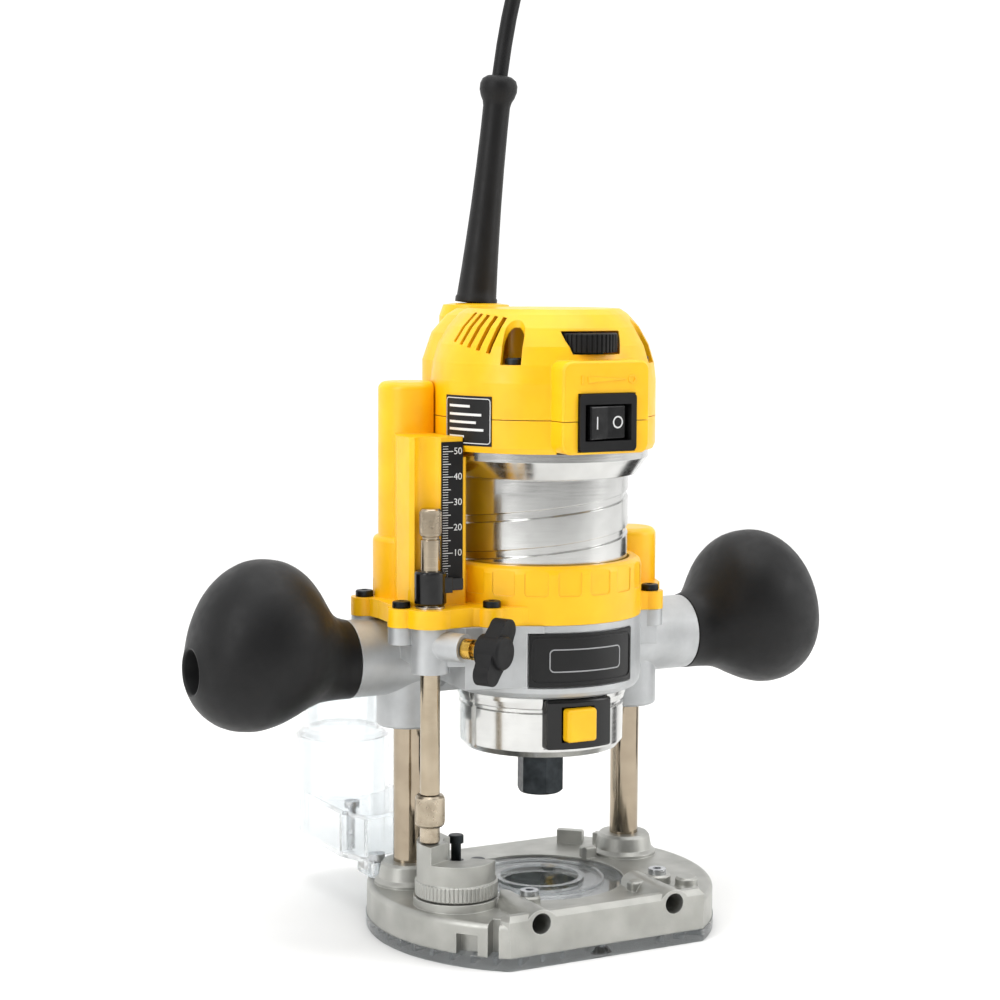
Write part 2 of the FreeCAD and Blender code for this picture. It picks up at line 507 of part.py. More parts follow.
def make_handles():
    """Rubber-faced ball handles, fuller above than below the arm's axis."""
    for side, name in ((-1, "handle_left"), (1, "handle_right")):
        rings = []
        # stations: distance from the motor axis, half height, half depth, lift of the centre
        stations = ((ARM_END_X + 0.3, 15.9, 15.9, 0.0), (86.0, 16.4, 15.6, 0.5), (94.0, 21.5, 18.5, 5.0),
                    (102.0, 28.0, 24.0, 8.2), (112.0, 32.2, 28.5, 9.6), (124.0, 32.6, 29.3, 8.6),
                    (134.0, 27.5, 25.0, 7.0), (140.5, 19.5, 18.0, 5.4), (HANDLE_END_X, 11.5, 11.0, 4.0))
        for x, high, deep, lift in stations:
            ellipse = Part.Ellipse(Vector(0, 0, 0), high + 0.01, min(deep, high))
            edge = ellipse.toShape()
            edge.rotate(Vector(0, 0, 0), Y_AXIS, 90)
            edge.translate(Vector(side * x, POST_Y, HANDLE_Z + lift))
            rings.append(Part.Wire(edge))
        ball = Part.makeLoft(rings, True, False)
        cuts = [bar(9.1, (side * 70.0, POST_Y, HANDLE_Z), (side * 104.5, POST_Y, HANDLE_Z)),
                bar(3.4, (side * 70.0, POST_Y, HANDLE_Z), (side * 160.0, POST_Y, HANDLE_Z)),
                bar(8.6, (side * 126.0, POST_Y, HANDLE_Z), (side * 160.0, POST_Y, HANDLE_Z))]
        save(name, ball.cut(cuts))
    bolts = []
    for side in (-1, 1):
        head = bar(5.0, (side * 126.05, POST_Y, HANDLE_Z), (side * 131.5, POST_Y, HANDLE_Z))
        shank = bar(3.05, (side * 84.0, POST_Y, HANDLE_Z), (side * 126.05, POST_Y, HANDLE_Z))
        socket = bar(2.5, (side * 128.5, POST_Y, HANDLE_Z), (side * 133.0, POST_Y, HANDLE_Z))
        bolts.append(fused(head, shank).cut(socket))
    save("handle_bolts", *bolts)


def helix_spring(x, y, z0, z1, mean_r, wire_r, turns):
    pitch = (z1 - z0 - 2 * wire_r) / turns
    path = Part.makeHelix(pitch, z1 - z0 - 2 * wire_r, mean_r)
    circle = Part.Wire(Part.makeCircle(wire_r, Vector(mean_r, 0, 0), Y_AXIS))
    coil = Part.Wire(path).makePipeShell([circle], True, True)
    coil.translate(Vector(x, y, z0 + wire_r))
    return coil


def make_springs():
    top_left = LEFT_TOWER_TOP - 2.6
    save("spring_left", helix_spring(-POST_X, POST_Y, 30.2, top_left, 3.7, 0.6, 26))
    save("spring_right", helix_spring(POST_X, POST_Y, 30.2, RIGHT_TOWER_TOP - 2.5, 3.7, 0.6, 18))


# ---------------------------------------------------------------- clamp knob and levers
def make_clamp_knob():
    direction = Vector(KNOB_DIR[0], KNOB_DIR[1], 0)
    axis = Vector(ROD_STOP_X, ROD_STOP_Y, KNOB_Z)
    shank = Part.makeCylinder(2.5, 24.4, axis + direction * (ROD_STOP_R + 0.3), direction)
    collar = Part.makeCylinder(4.0, 4.0, axis + direction * (KNOB_BOSS + 0.4), direction)
    save("clamp_screw", fused(shank, collar))
    hub_start = axis + direction * (KNOB_BOSS + 8.5)
    hub = Part.makeCylinder(6.6, 10.5, hub_start, direction)
    hub = hub.makeFillet(1.5, hub.Edges[:1])
    side = Vector(-direction.y, direction.x, 0)
    lobes = []
    tilt = math.radians(55.0)
    along = side * math.cos(tilt) + Z_AXIS * math.sin(tilt)
    for sign in (-1, 1):
        tip = hub_start + direction * 1.8 + along * (sign * 9.5)
        lobes.append(Part.makeCylinder(4.4, 6.6, tip, direction))
        corner = [hub_start + direction * 1.8 + along * (sign * a) + direction.cross(along) * b
                  for a, b in ((0, 6.2), (0, -6.2), (9.5, -4.3), (9.5, 4.3))]
        lobes.append(Part.Face(Part.makePolygon(corner + corner[:1])).extrude(direction * 6.6))
    knob = fused(hub, *lobes)
    knob = knob.cut(Part.makeCylinder(2.52, 4.6, hub_start - direction * 0.2, direction))
    save("clamp_knob", knob)


def make_levers():
    # plunge lock at the back of the left housing
    pivot = Vector(-POST_X, POST_Y + ARM_R + 0.5, 106.0)
    hub = Part.makeCylinder(7.0, 9.0, pivot, Y_AXIS)
    blade = prism([(-4.5, 0), (4.5, 0), (3.4, 27.0), (-3.4, 27.0)], 0, 6.0)
    blade.rotate(Vector(0, 0, 0), X_AXIS, 90)
    blade.translate(Vector(pivot.x, pivot.y + 8.5, pivot.z))
    lever = fused(hub, blade, Part.makeCylinder(4.6, 6.0, Vector(pivot.x, pivot.y + 2.5, pivot.z + 27.0), Y_AXIS))
    lever = fused(lever, Part.makeCylinder(5.0, 2.6, pivot + Y_AXIS * 9.0, Y_AXIS))
    save("plunge_lock_lever", lever)
    # motor clamp: cross bolt through the split boss, with an eccentric lever on its end
    cross = fused(bar(3.0, (-16.0, 44.0, 114.0), (24.0, 44.0, 114.0)),
                  bar(5.4, (-17.2, 44.0, 114.0), (-13.1, 44.0, 114.0)))
    save("clamp_bolt", cross)
    cam = bar(5.6, (13.4, 44.0, 114.0), (22.0, 44.0, 114.0))
    arm = prism([(13.9, 44.0), (21.5, 44.0), (21.5, 55.0), (8.0, 62.0), (-14.0, 62.6), (-14.0, 58.6), (6.0, 58.0),
                 (13.9, 54.8)], 109.0, 119.0)
    lever = fused(cam, arm).cut(bar(3.05, (10.0, 44.0, 114.0), (30.0, 44.0, 114.0)))
    save("motor_clamp_lever", lever)


# ---------------------------------------------------------------- motor
def make_motor_can():
    outer = [(29.0, CAN_Z0), (CAN_R - 3.0, CAN_Z0), (CAN_R - 1.2, CAN_Z0 + 2.5), (CAN_R - 1.0, 92.0),
             (CAN_R - 1.8, 92.4), (CAN_R - 1.8, 93.6), (CAN_R - 0.6, 94.2), (CAN_R, 96.5), (CAN_R, CAN_Z1),
             (37.4, CAN_Z1 + 0.6), (42.2, CAN_Z1 + 7.5), (42.2, CAP_Z0 - 0.05), (32.4, CAP_Z0 - 0.05),
             (31.4, CAN_Z1), (31.4, 103.0), (17.55, 103.0), (17.55, 91.5), (10.5, 91.5), (10.5, 77.5), (29.0, 77.5)]
    can = turned(outer)
    # shallow helical grooves, rising to the right, for setting the height
    grooves = []
    section = ((CAN_R + 0.4, -1.9), (CAN_R - 1.1, -1.3), (CAN_R - 1.1, 1.3), (CAN_R + 0.4, 1.9))
    profile = [Vector(r, 0, z) for r, z in section]
    for turn in range(3):
        path = Part.makeHelix(24.0, 24.0 * 0.6, CAN_R)
        groove = Part.Wire(path).makePipeShell([Part.makePolygon(profile + profile[:1])], True, True)
        groove.rotate(Vector(0, 0, 0), Z_AXIS, 165.0)
        groove.translate(Vector(0, 0, 137.0 + 14.5 * turn))
        grooves.append(groove)
    can = can.cut(grooves)
    # keyways down the lower end, and the window of the spindle lock
    keyways = [spun(box(CAN_R - 2.2, CAN_R + 2, -1.5, 1.5, 70.0, 99.0), a) for a in (-8.0, 188.0, 60.0, 120.0)]
    keyways.append(box(LOCK_X - 14.0, LOCK_X + 14.0, -40.0, -29.5, 78.2, 98.4))
    keyways.append(bar(3.3, (0.0, -40.0, LOCK_Z), (0.0, -5.0, LOCK_Z)))
    save("motor_can", can.cut(keyways))


def make_lock():
    """Spindle lock: black frame, sprung button and the pin it pushes into the spindle."""
    arc = cyl(37.2, 78.5, 98.2).common(box(LOCK_X - 13.8, LOCK_X + 13.8, -38.0, -29.6, 78.5, 98.2))
    bezel = arc.makeFillet(1.2, [e for e in arc.Edges if e.BoundBox.YLength > 3])
    bezel = bezel.cut([box(LOCK_X - 8.4, LOCK_X + 5.4, -40.0, -31.2, 81.6, 95.4),
                       bar(3.3, (0.0, -40.0, LOCK_Z), (0.0, -20.0, LOCK_Z))])
    save("lock_bezel", bezel)
    button = box(LOCK_X - 8.0, LOCK_X + 5.0, -40.4, -36.0, 82.0, 95.0)
    button = button.makeFillet(1.3, [e for e in button.Edges
                                     if e.BoundBox.YLength > 2 or e.BoundBox.YMax < -40])
    save("lock_button", button)
    pin = bar(2.0, (0.0, -36.0, LOCK_Z), (0.0, -8.0, LOCK_Z))
    save("lock_pin", fused(pin, bar(3.0, (0.0, -36.0, LOCK_Z), (0.0, -34.6, LOCK_Z))))


def outline_wire(half_x, front, back, corner, z):
    """Level wire: a rectangle with round corners."""
    x0, x1, y0, y1, r, q = -half_x, half_x, front, back, corner, corner * (1 - math.sqrt(0.5))
    lines = [((x0 + r, y0), (x1 - r, y0)), ((x1, y0 + r), (x1, y1 - r)), ((x1 - r, y1), (x0 + r, y1)),
             ((x0, y1 - r), (x0, y0 + r))]
    mids = [(x1 - q, y0 + q), (x1 - q, y1 - q), (x0 + q, y1 - q), (x0 + q, y0 + q)]
    edges = []
    for number, (a, b) in enumerate(lines):
        c = lines[(number + 1) % 4][0]
        edges.append(Part.makeLine(Vector(a[0], a[1], z), Vector(b[0], b[1], z)))
        mid = mids[number]
        edges.append(Part.Arc(Vector(b[0], b[1], z), Vector(mid[0], mid[1], z), Vector(c[0], c[1], z)).toShape())
    return Part.Wire(edges)


def cap_form(inset, z0, z1):
    """Outside of the end cap, or its inside for an inset, between two heights."""
    dome = turned([(0, CAP_Z0), (CAP_R - 0.8 - inset, CAP_Z0), (CAP_R - inset, CAP_Z0 + 2.0), (CAP_R - inset, 222.0),
                   (CAP_R - 0.8 - inset, 229.0), (CAP_R - 3.0 - inset, 236.0), (CAP_R - 7.0 - inset, 243.0),
                   (CAP_R - 11.5 - inset, 248.0 - inset), (CAP_R - 14.5 - inset, CAP_TOP - inset), (0, CAP_TOP - inset)])
    sections = ((40.0, 42.0, 18.0, CAP_Z0), (40.0, 42.0, 18.0, 229.0), (36.5, 40.0, 17.0, 240.0),
                (31.0, 36.0, 15.0, 247.0 - inset), (27.0, 33.0, 13.0, CAP_TOP - 0.4 - inset))
    rear = []
    for lower, upper in zip(sections, sections[1:]):
        wires = [outline_wire(hx - inset, -6.0, back - inset, r - min(inset, 2.0), z)
                 for hx, back, r, z in (lower, upper)]
        rear.append(Part.makeLoft(wires, True, True))
    form = fused(dome, *rear)
    return form.common(box(-90, 90, -90, 90, z0, z1))


def make_cap():
    """Yellow end cap in two shells; a panel on the front holds the rocker and the dial."""
    panel = box(-19.2, 19.2, -50.0, -30.0, CAP_Z0 + 0.4, 231.0)
    panel = panel.makeFillet(4.0, [e for e in panel.Edges if e.BoundBox.YLength > 3])
    panel = panel.makeChamfer(0.8, [e for e in panel.Edges if e.BoundBox.YMax < -49.9])
    boss = turned([(0, 228.0), (15.4, 228.0), (15.2, 246.0), (13.6, 250.6), (9.0, 251.2), (0, 251.2)],
                  GLAND_X, GLAND_Y)
    hollow = box(-16.8, 16.8, -47.8, -30.0, CAP_Z0 - 1, 228.8)
    window = box(-12.7, 12.7, -52.0, -40.0, ROCKER_Z - 11.2, ROCKER_Z + 11.2)
    dial_slot = cyl(DIAL_R + 0.8, DIAL_Z - 4.4, DIAL_Z + 4.4, 0.0, DIAL_Y)
    inside = cap_form(2.6, CAP_Z0 - 1, CAP_TOP + 1)
    outside = fused(cap_form(0.0, CAP_Z0, CAP_TOP), panel, boss)
    shell = outside.cut([inside, hollow, window, dial_slot, cyl(5.6, 220, 260, GLAND_X, GLAND_Y)])
    # screw channels down the dome, with a pillar and seat at each foot
    pillars = []
    channels = []
    for x, y in CAP_SCREWS:
        pillars.append(tube(4.6, 1.9, CAP_SEAM + 1.0, 229.0, x, y).common(outside))
        out = math.degrees(math.atan2(y, x))
        channels.append(cyl(4.1, 229.0, 260.0, x, y))
        channels.append(spun(box(x, x + 14.0, y - 4.1, y + 4.1, 229.0, 260.0), out, x, y))
    # bearing housing under the roof
    housing = tube(14.0, 11.04, 226.0, CAP_TOP - 2.5)
    shell = fused(shell, housing, *pillars).cut(channels)
    # cooling slots on both shoulders
    slots = []
    for side in (-1, 1):
        for number in range(5):
            slot = box(30.0, 60.0, -0.95, 0.95, 233.0 + number, 247.0 + 0.4 * number)
            slot.rotate(Vector(40, 0, 240), X_AXIS, 12.0 * side)
            slots.append(spun(slot, -90.0 + side * (57.0 + 7.0 * number)))
    for number in range(7):
        slots.append(spun(box(30.0, 60.0, -1.1, 1.1, 213.0, 224.0), 66.0 + 8.0 * number))
    shell = shell.cut(slots)
    upper = shell.common(box(-90, 90, -90, 90, CAP_SEAM + 0.15, 300))
    lower = shell.common(box(-90, 90, -90, 90, CAP_Z0 - 1, CAP_SEAM - 0.15))
    low_pillars = [tube(4.6, 1.9, CAP_Z0 + 3.0, CAP_SEAM - 0.15, x, y).common(cap_form(0.5, CAP_Z0, CAP_TOP))
                   for x, y in CAP_SCREWS]
    lower = fused(lower, *low_pillars)
    lower = lower.cut([cyl(42.4, CAP_Z0 - 2, CAP_Z0 + 0.02)])
    save("cap_upper", max(upper.Solids, key=lambda s: s.Volume))
    save("cap_lower", max(lower.Solids, key=lambda s: s.Volume))
    plate = tube(CAP_R + 0.45, CAP_R + 0.02, 197.6, 216.8).common(
        spun(prism([(0, 0), (80, -21.5), (80, 21.5)], 190, 225), 200.0))
    save("info_plate", plate)


def make_controls():
    """Rocker switch and speed dial on the front of the cap."""
    frame = box(-12.5, 12.5, -51.4, -47.2, ROCKER_Z - 11.0, ROCKER_Z + 11.0)
    frame = frame.makeFillet(1.8, [e for e in frame.Edges if e.BoundBox.YLength > 3])
    body = box(-11.4, 11.4, -47.2, -32.5, ROCKER_Z - 8.4, ROCKER_Z + 8.4)
    pocket = box(-10.2, 10.2, -53.0, -44.0, ROCKER_Z - 7.0, ROCKER_Z + 7.0)
    save("switch_body", fused(frame, body).cut(pocket))
    rocker = prism([(-8.6, -52.6), (0.0, -50.6), (8.6, -49.6), (8.6, -47.0), (3.0, -45.4), (-3.0, -45.4),
                    (-8.6, -47.0)], ROCKER_Z - 6.4, ROCKER_Z + 6.4)
    rocker = rocker.makeFillet(0.5, [e for e in rocker.Edges if e.BoundBox.YMax < -49])
    save("rocker", rocker)
    rim = tube(DIAL_R, 3.05, DIAL_Z - 3.7, DIAL_Z + 3.7, 0.0, DIAL_Y)
    rim = rim.makeChamfer(0.6, edges_at(rim, DIAL_Z + 3.7, 5.0, 20.0, 0.0, DIAL_Y))
    rib = box(DIAL_R - 0.5, DIAL_R + 0.5, DIAL_Y - 0.4, DIAL_Y + 0.4, DIAL_Z - 3.8, DIAL_Z + 3.2)
    ribs = [spun(rib, a, 0.0, DIAL_Y) for a in range(0, 360, 9)]
    save("speed_dial", rim.cut(ribs))
    board = box(-14.0, 14.0, -41.0, -23.5, 226.0, 227.6)
    pot = fused(board, box(-5.0, 5.0, DIAL_Y - 5.2, DIAL_Y + 6.0, 227.6, DIAL_Z - 4.0),
                cyl(3.0, 227.6, DIAL_Z + 3.4, 0.0, DIAL_Y))
    save("speed_board", pot)


def make_motor_inside():
    save("lower_bearing", tube(17.5, 7.54, 91.6, 102.6))
    save("upper_bearing", tube(11.0, 5.04, 227.0, 234.0))
    core = tube(31.35, 20.6, 118.0, 160.0)
    core = core.cut([box(-14.0, 14.0, 20.0, 27.0, 117, 161), box(-14.0, 14.0, -27.0, -20.0, 117, 161)])
    save("stator_core", core)
    windings = []
    for side in (-1, 1):
        block = box(-13.8, 13.8, side * 24.0 - 2.7, side * 24.0 + 2.7, 112.6, 168.0)
        windings.append(block.makeFillet(1.8, [e for e in block.Edges if e.BoundBox.YLength > 2]))
    save("stator_windings", *windings)
    ring = tube(36.0, 16.0, CAP_Z0, CAP_Z0 + 1.8).cut(box(-17.5, 17.5, -60, -26.0, 190, 200))
    holders = []
    brushes = []
    for side in (-1, 1):
        shell = box(min(side * 13.6, side * 29.0), max(side * 13.6, side * 29.0), -4.6, 4.6, CAP_Z0 + 1.0, 209.4)
        holders.append(shell.cut(box(-40, 40, -3.3, 3.3, 199.0, 208.0)))
        brushes.append(box(min(side * 12.1, side * 26.0), max(side * 12.1, side * 26.0), -3.2, 3.2, 199.1, 207.9))
    save("brush_holder_ring", fused(ring, *holders))
    save("carbon_brushes", *brushes)


def make_spindle():
    shaft = turned([(0, 62.0), (6.2, 62.0), (7.0, 63.0), (7.0, 91.2), (7.5, 91.2), (7.5, 103.4), (6.0, 103.4),
                    (6.0, 225.6), (5.0, 225.6), (5.0, 236.0), (0, 236.0)])
    shaft = shaft.cut([cyl(5.2, 61.0, 80.0), bar(2.15, (0, -12, LOCK_Z), (0, 12, LOCK_Z)),
                       bar(2.15, (-12, 0, LOCK_Z), (12, 0, LOCK_Z))])
    save("armature_shaft", shaft)
    core = tube(20.0, 6.02, 118.0, 160.0)
    core = core.cut([spun(box(17.0, 21.0, -0.9, 0.9, 117.0, 161.0), a * 30.0) for a in range(12)])
    ends = [turned([(6.02, 160.0), (18.0, 160.0), (16.0, 171.0), (6.02, 171.0)]),
            turned([(6.02, 112.6), (16.0, 112.6), (18.0, 118.0), (6.02, 118.0)])]
    save("wound_rotor", fused(core, *ends))
    commutator = tube(12.0, 6.02, 196.4, 212.0)
    commutator = commutator.cut([spun(box(11.0, 13.0, -0.25, 0.25, 190.0, 220.0), a * 15.0) for a in range(24)])
    save("commutator", commutator)
    hub = tube(9.0, 6.02, 104.0, 111.6)
    disc = tube(27.0, 6.02, 104.0, 105.4)
    blades = [spun(box(8.6, 27.0, -0.6, 0.6, 105.0, 110.6), a * 30.0 + 9.0) for a in range(12)]
    save("cooling_fan", fused(hub, disc, *blades))
    # collet: tapered sleeve with a bore for 8 mm shanks, held up by the nut
    collet = turned([(4.0, 58.4), (5.8, 58.4), (6.5, 60.5), (5.15, 66.0), (5.15, 79.0), (4.0, 79.0)])
    collet = collet.cut([spun(box(4.5, 9.0, -0.4, 0.4, 56.0, 72.0), a * 90.0 + 45.0) for a in range(4)])
    collet = collet.cut(tube(20, 5.15, 61.95, 90))
    save("collet", collet)
    turns = [math.radians(60.0 * k + 15.0) for k in range(6)]
    hexagon = [(9.6 * math.cos(a), 9.6 * math.sin(a)) for a in turns]
    blank = turned([(0, NUT_Z0), (8.2, NUT_Z0), (9.6, NUT_Z0 + 1.2), (9.6, 73.0), (0, 73.0)])
    nut = prism(hexagon, NUT_Z0, 73.0).common(blank)
    nut = nut.cut([cyl(5.2, 50, 58.0), cyl(7.04, 60.7, 80.0), cone(5.2, 7.04, 56.2, 60.7)])
    save("collet_nut", nut)


# ---------------------------------------------------------------- cord
BOOT_BASE = Vector(GLAND_X, GLAND_Y, 251.3)
CORD_EXIT = Vector(2.6, GLAND_Y, 344.0)
COIL_X, COIL_Y, COIL_R = 358.8, 14.0, 36.1
ROUTE = ((2.6, 43.0, 344.0), (8.0, 43.0, 383.0), (29.0, 43.0, 424.0), (64.0, 44.0, 453.0), (108.0, 45.0, 470.0),
         (158.0, 47.0, 475.0), (208.0, 50.0, 465.0), (254.0, 53.0, 436.0), (287.0, 57.0, 391.0),
         (302.0, 62.0, 335.0), (308.0, 66.0, 272.0), (311.0, 69.0, 205.0), (312.0, 72.0, 145.0),
         (313.0, 74.0, 92.0), (314.0, 74.3, 50.0), (315.0, 69.0, 29.0), (315.8, 54.4, 12.4), (316.0, 34.0, 3.4),
         (316.0, 14.0, 3.4))


def rounded_path(points):
    """Straight runs joined by tangent arcs; returns the wire and the arcs' radii."""
    places = [Vector(*p) for p in points]
    edges, radii, last = [], [], places[0]
    for before, corner, after in zip(places, places[1:], places[2:]):
        into, out = (corner - before), (after - corner)
        setback = 0.45 * min(into.Length, out.Length)
        turn = into.getAngle(out)
        radii.append(setback / math.tan(turn / 2))
        into.normalize()
        out.normalize()
        start, end = corner - into * setback, corner + out * setback
        bisector = (out - into)
        bisector.normalize()
        centre_distance = radii[-1] / math.cos(turn / 2)
        middle = corner + bisector * (centre_distance - radii[-1])
        edges.append(Part.LineSegment(last, start).toShape())
        edges.append(Part.Arc(start, middle, end).toShape())
        last = end
    edges.append(Part.LineSegment(last, places[-1]).toShape())
    return Part.Wire(edges), radii


def make_cord():
    """Boot, free lead, put-away coil and plug."""
    boot = turned([(0, 0), (8.6, 0), (8.6, 2.5), (8.2, 5.0), (6.6, 30.0), (5.7, 60.0), (5.5, 82.0), (6.6, 85.0),
                   (7.6, 88.0), (7.4, 91.5), (5.6, 93.2), (0, 93.2)])
    lean = math.atan2(CORD_EXIT.x - BOOT_BASE.x, CORD_EXIT.z - BOOT_BASE.z)
    boot.rotate(Vector(0, 0, 0), Y_AXIS, math.degrees(lean))
    boot.translate(BOOT_BASE)
    boot = boot.cut(box(-60, 60, 0, 90, 200, 251.25))
    neck = cyl(5.5, 240.0, 252.5, GLAND_X, GLAND_Y)
    save("strain_relief", fused(boot, neck))
    wire, radii = rounded_path(ROUTE)
    start_direction = Vector(*ROUTE[1]) - Vector(*ROUTE[0])
    circle = Part.Wire(Part.makeCircle(CORD_R, Vector(*ROUTE[0]), start_direction))
    lead = wire.makePipeShell([circle], True, False)
    section = math.pi * CORD_R ** 2
    print("cord radii", " ".join("%.0f" % r for r in radii))
    print("lead length %.0f, volume over section %.0f" % (wire.Length, lead.Volume / section))
    save("cord_lead", lead)
    coil = tube(COIL_R + 10.2, COIL_R - 10.0, 0.0, 20.0, COIL_X, COIL_Y).cut(
        box(COIL_X - 60, COIL_X, COIL_Y, COIL_Y + 60, -1, 6.9))
    coil = coil.cut(box(COIL_X - 60, COIL_X - 20, COIL_Y, COIL_Y + 60, -1, 30).common(
        tube(60, COIL_R + 3.2, -1, 30, COIL_X, COIL_Y)))
    save("cord_coil", coil)
    plug = box(COIL_X + 12.0, COIL_X + 46.0, COIL_Y - 22.0, COIL_Y + 22.0, 20.05, 40.0)
    plug = plug.makeFillet(6.0, [e for e in plug.Edges if e.BoundBox.YLength > 20])
    pins = [bar(2.4, (COIL_X + x, COIL_Y + 21.0, 30.0), (COIL_X + x, COIL_Y + 41.0, 30.0)) for x in (19.5, 38.5)]
    save("mains_plug", fused(plug, *pins))


make_sub_base()
make_base_casting()
make_posts()
make_dust_parts()
make_turret()
make_depth_rod()
make_carriage()
make_cover()
make_handles()
make_springs()
make_clamp_knob()
make_levers()
make_motor_can()
make_lock()
make_cap()
make_controls()
make_motor_inside()
make_spindle()
make_cord()
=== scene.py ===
import bpy
import bmesh
import math
from mathutils import Matrix, Vector


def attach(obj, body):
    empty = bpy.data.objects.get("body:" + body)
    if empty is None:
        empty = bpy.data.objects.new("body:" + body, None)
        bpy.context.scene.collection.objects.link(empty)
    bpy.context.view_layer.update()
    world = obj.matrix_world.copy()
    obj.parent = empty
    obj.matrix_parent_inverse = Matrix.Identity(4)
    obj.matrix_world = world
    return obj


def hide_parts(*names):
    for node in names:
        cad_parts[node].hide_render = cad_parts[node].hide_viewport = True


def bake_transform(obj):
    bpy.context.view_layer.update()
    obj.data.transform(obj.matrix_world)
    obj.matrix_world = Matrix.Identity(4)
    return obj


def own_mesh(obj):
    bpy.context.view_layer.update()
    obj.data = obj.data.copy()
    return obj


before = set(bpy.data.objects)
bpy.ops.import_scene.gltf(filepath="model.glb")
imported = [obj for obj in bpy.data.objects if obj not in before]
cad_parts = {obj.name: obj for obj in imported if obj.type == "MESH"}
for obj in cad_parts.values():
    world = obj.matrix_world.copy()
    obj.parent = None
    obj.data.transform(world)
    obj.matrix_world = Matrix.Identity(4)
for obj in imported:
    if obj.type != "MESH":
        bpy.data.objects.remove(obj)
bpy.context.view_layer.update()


# ---------------------------------------------------------------- clear sub-base
# The wear plate under the base: polycarbonate, injection moulded, with stiffening ribs round its rim.
# Three countersunk screws of zinc plated steel hold it from below.
def linear(hex_colour):
    """sRGB hex to the linear values that a shader takes."""
    channels = [int(hex_colour[n:n + 2], 16) / 255 for n in (1, 3, 5)]
    return [c / 12.92 if c <= 0.04045 else ((c + 0.055) / 1.055) ** 2.4 for c in channels] + [1.0]


def add_node(material, kind, settings, links):
    """One node with its settings, and links from (node, output) to its sockets."""
    node = material.node_tree.nodes.new(kind)
    for name, value in settings.items():
        if isinstance(name, str) and hasattr(node, name):
            setattr(node, name, value)
        else:
            node.inputs[name].default_value = value
    for socket, (source, output) in links.items():
        material.node_tree.links.new(source.outputs[output], node.inputs[socket])
    return node


def raw_material(name, sockets):
    """A material with these values on its shader, and the shader."""
    material = bpy.data.materials.new(name)
    material.use_nodes = True
    shader = material.node_tree.nodes["Principled BSDF"]
    for socket, value in sockets.items():
        shader.inputs[socket].default_value = value
    return material, shader


def grained(material, shader, grain_mm, depth_mm, edge_mm, strength=1.0):
    """Fine surface grain on edges that are rounded a little; returns the place it is drawn at."""
    place = add_node(material, "ShaderNodeTexCoord", {}, {})
    edge = add_node(material, "ShaderNodeBevel", {"samples": 4, "Radius": edge_mm / 1000}, {})
    grain = add_node(material, "ShaderNodeTexNoise", {"Scale": 1000 / grain_mm, "Detail": 3.0},
                     {"Vector": (place, "Object")})
    bump = add_node(material, "ShaderNodeBump", {"Strength": strength, "Distance": depth_mm / 1000},
                    {"Height": (grain, 0), "Normal": (edge, "Normal")})
    material.node_tree.links.new(bump.outputs["Normal"], shader.inputs["Normal"])
    return place


def mottled(material, shader, place, dark, light, patch_mm):
    """Slow change between two near shades of one colour, as pigment and handling give it."""
    cloud = add_node(material, "ShaderNodeTexNoise", {"Scale": 1000 / patch_mm, "Detail": 4.0},
                     {"Vector": (place, "Object")})
    spread = add_node(material, "ShaderNodeMapRange", {"From Min": 0.35, "From Max": 0.65},
                      {"Value": (cloud, 0)})
    shade = add_node(material, "ShaderNodeMixRGB", {"Color1": linear(dark), "Color2": linear(light)},
                     {"Fac": (spread, 0)})
    material.node_tree.links.new(shade.outputs["Color"], shader.inputs["Base Color"])
    return shade


def worn_edges(material, shader, shade, colour, width_mm, amount):
    """Outer edges rubbed lighter: where a rounded normal leaves the true one."""
    true = add_node(material, "ShaderNodeNewGeometry", {}, {})
    soft = add_node(material, "ShaderNodeBevel", {"samples": 4, "Radius": width_mm / 1000}, {})
    match = add_node(material, "ShaderNodeVectorMath", {"operation": "DOT_PRODUCT"},
                     {0: (true, "Normal"), 1: (soft, "Normal")})
    mask = add_node(material, "ShaderNodeMapRange",
                    {"From Min": 0.97, "From Max": 0.75, "To Min": 0.0, "To Max": amount},
                    {"Value": (match, "Value")})
    rubbed = add_node(material, "ShaderNodeMixRGB", {"Color2": linear(colour)},
                      {"Fac": (mask, 0), "Color1": (shade, "Color")})
    material.node_tree.links.new(rubbed.outputs["Color"], shader.inputs["Base Color"])


def rough_patches(material, shader, place, low, high, patch_mm):
    """Sheen that varies over the surface between two roughnesses."""
    cloud = add_node(material, "ShaderNodeTexNoise", {"Scale": 1000 / patch_mm, "Detail": 5.0},
                     {"Vector": (place, "Object")})
    spread = add_node(material, "ShaderNodeMapRange",
                      {"From Min": 0.3, "From Max": 0.7, "To Min": low, "To Max": high},
                      {"Value": (cloud, 0)})
    material.node_tree.links.new(spread.outputs[0], shader.inputs["Roughness"])


def coat(material, *names):
    """CAD pieces that show as they are, in this material."""
    for name in names:
        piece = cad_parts[name]
        piece.data.materials.clear()
        piece.data.materials.append(material)


def clear_polycarbonate(name, tint, low, high):
    """Clear moulded plate: light passes and bends; faint waves from the mould and scuffs from handling."""
    material, shader = raw_material(name, {"Base Color": linear(tint), "Transmission Weight": 1.0,
                                           "IOR": 1.46, "Alpha": 0.75})
    place = grained(material, shader, 6.0, 0.05, 0.3, 0.35)
    rough_patches(material, shader, place, low, high, 9.0)
    return material


coat(clear_polycarbonate("moulded_clear_polycarbonate", "#D9DEE1", 0.05, 0.12), "sub_base")


def plated_steel(name, dark, light, low, high, grain_mm=0.5):
    """Turned and plated steel: bright, with fine tool marks and a patchy sheen."""
    material, shader = raw_material(name, {"Metallic": 1.0})
    place = grained(material, shader, grain_mm, 0.012, 0.25)
    mottled(material, shader, place, dark, light, 7.0)
    rough_patches(material, shader, place, low, high, 2.5)
    return material


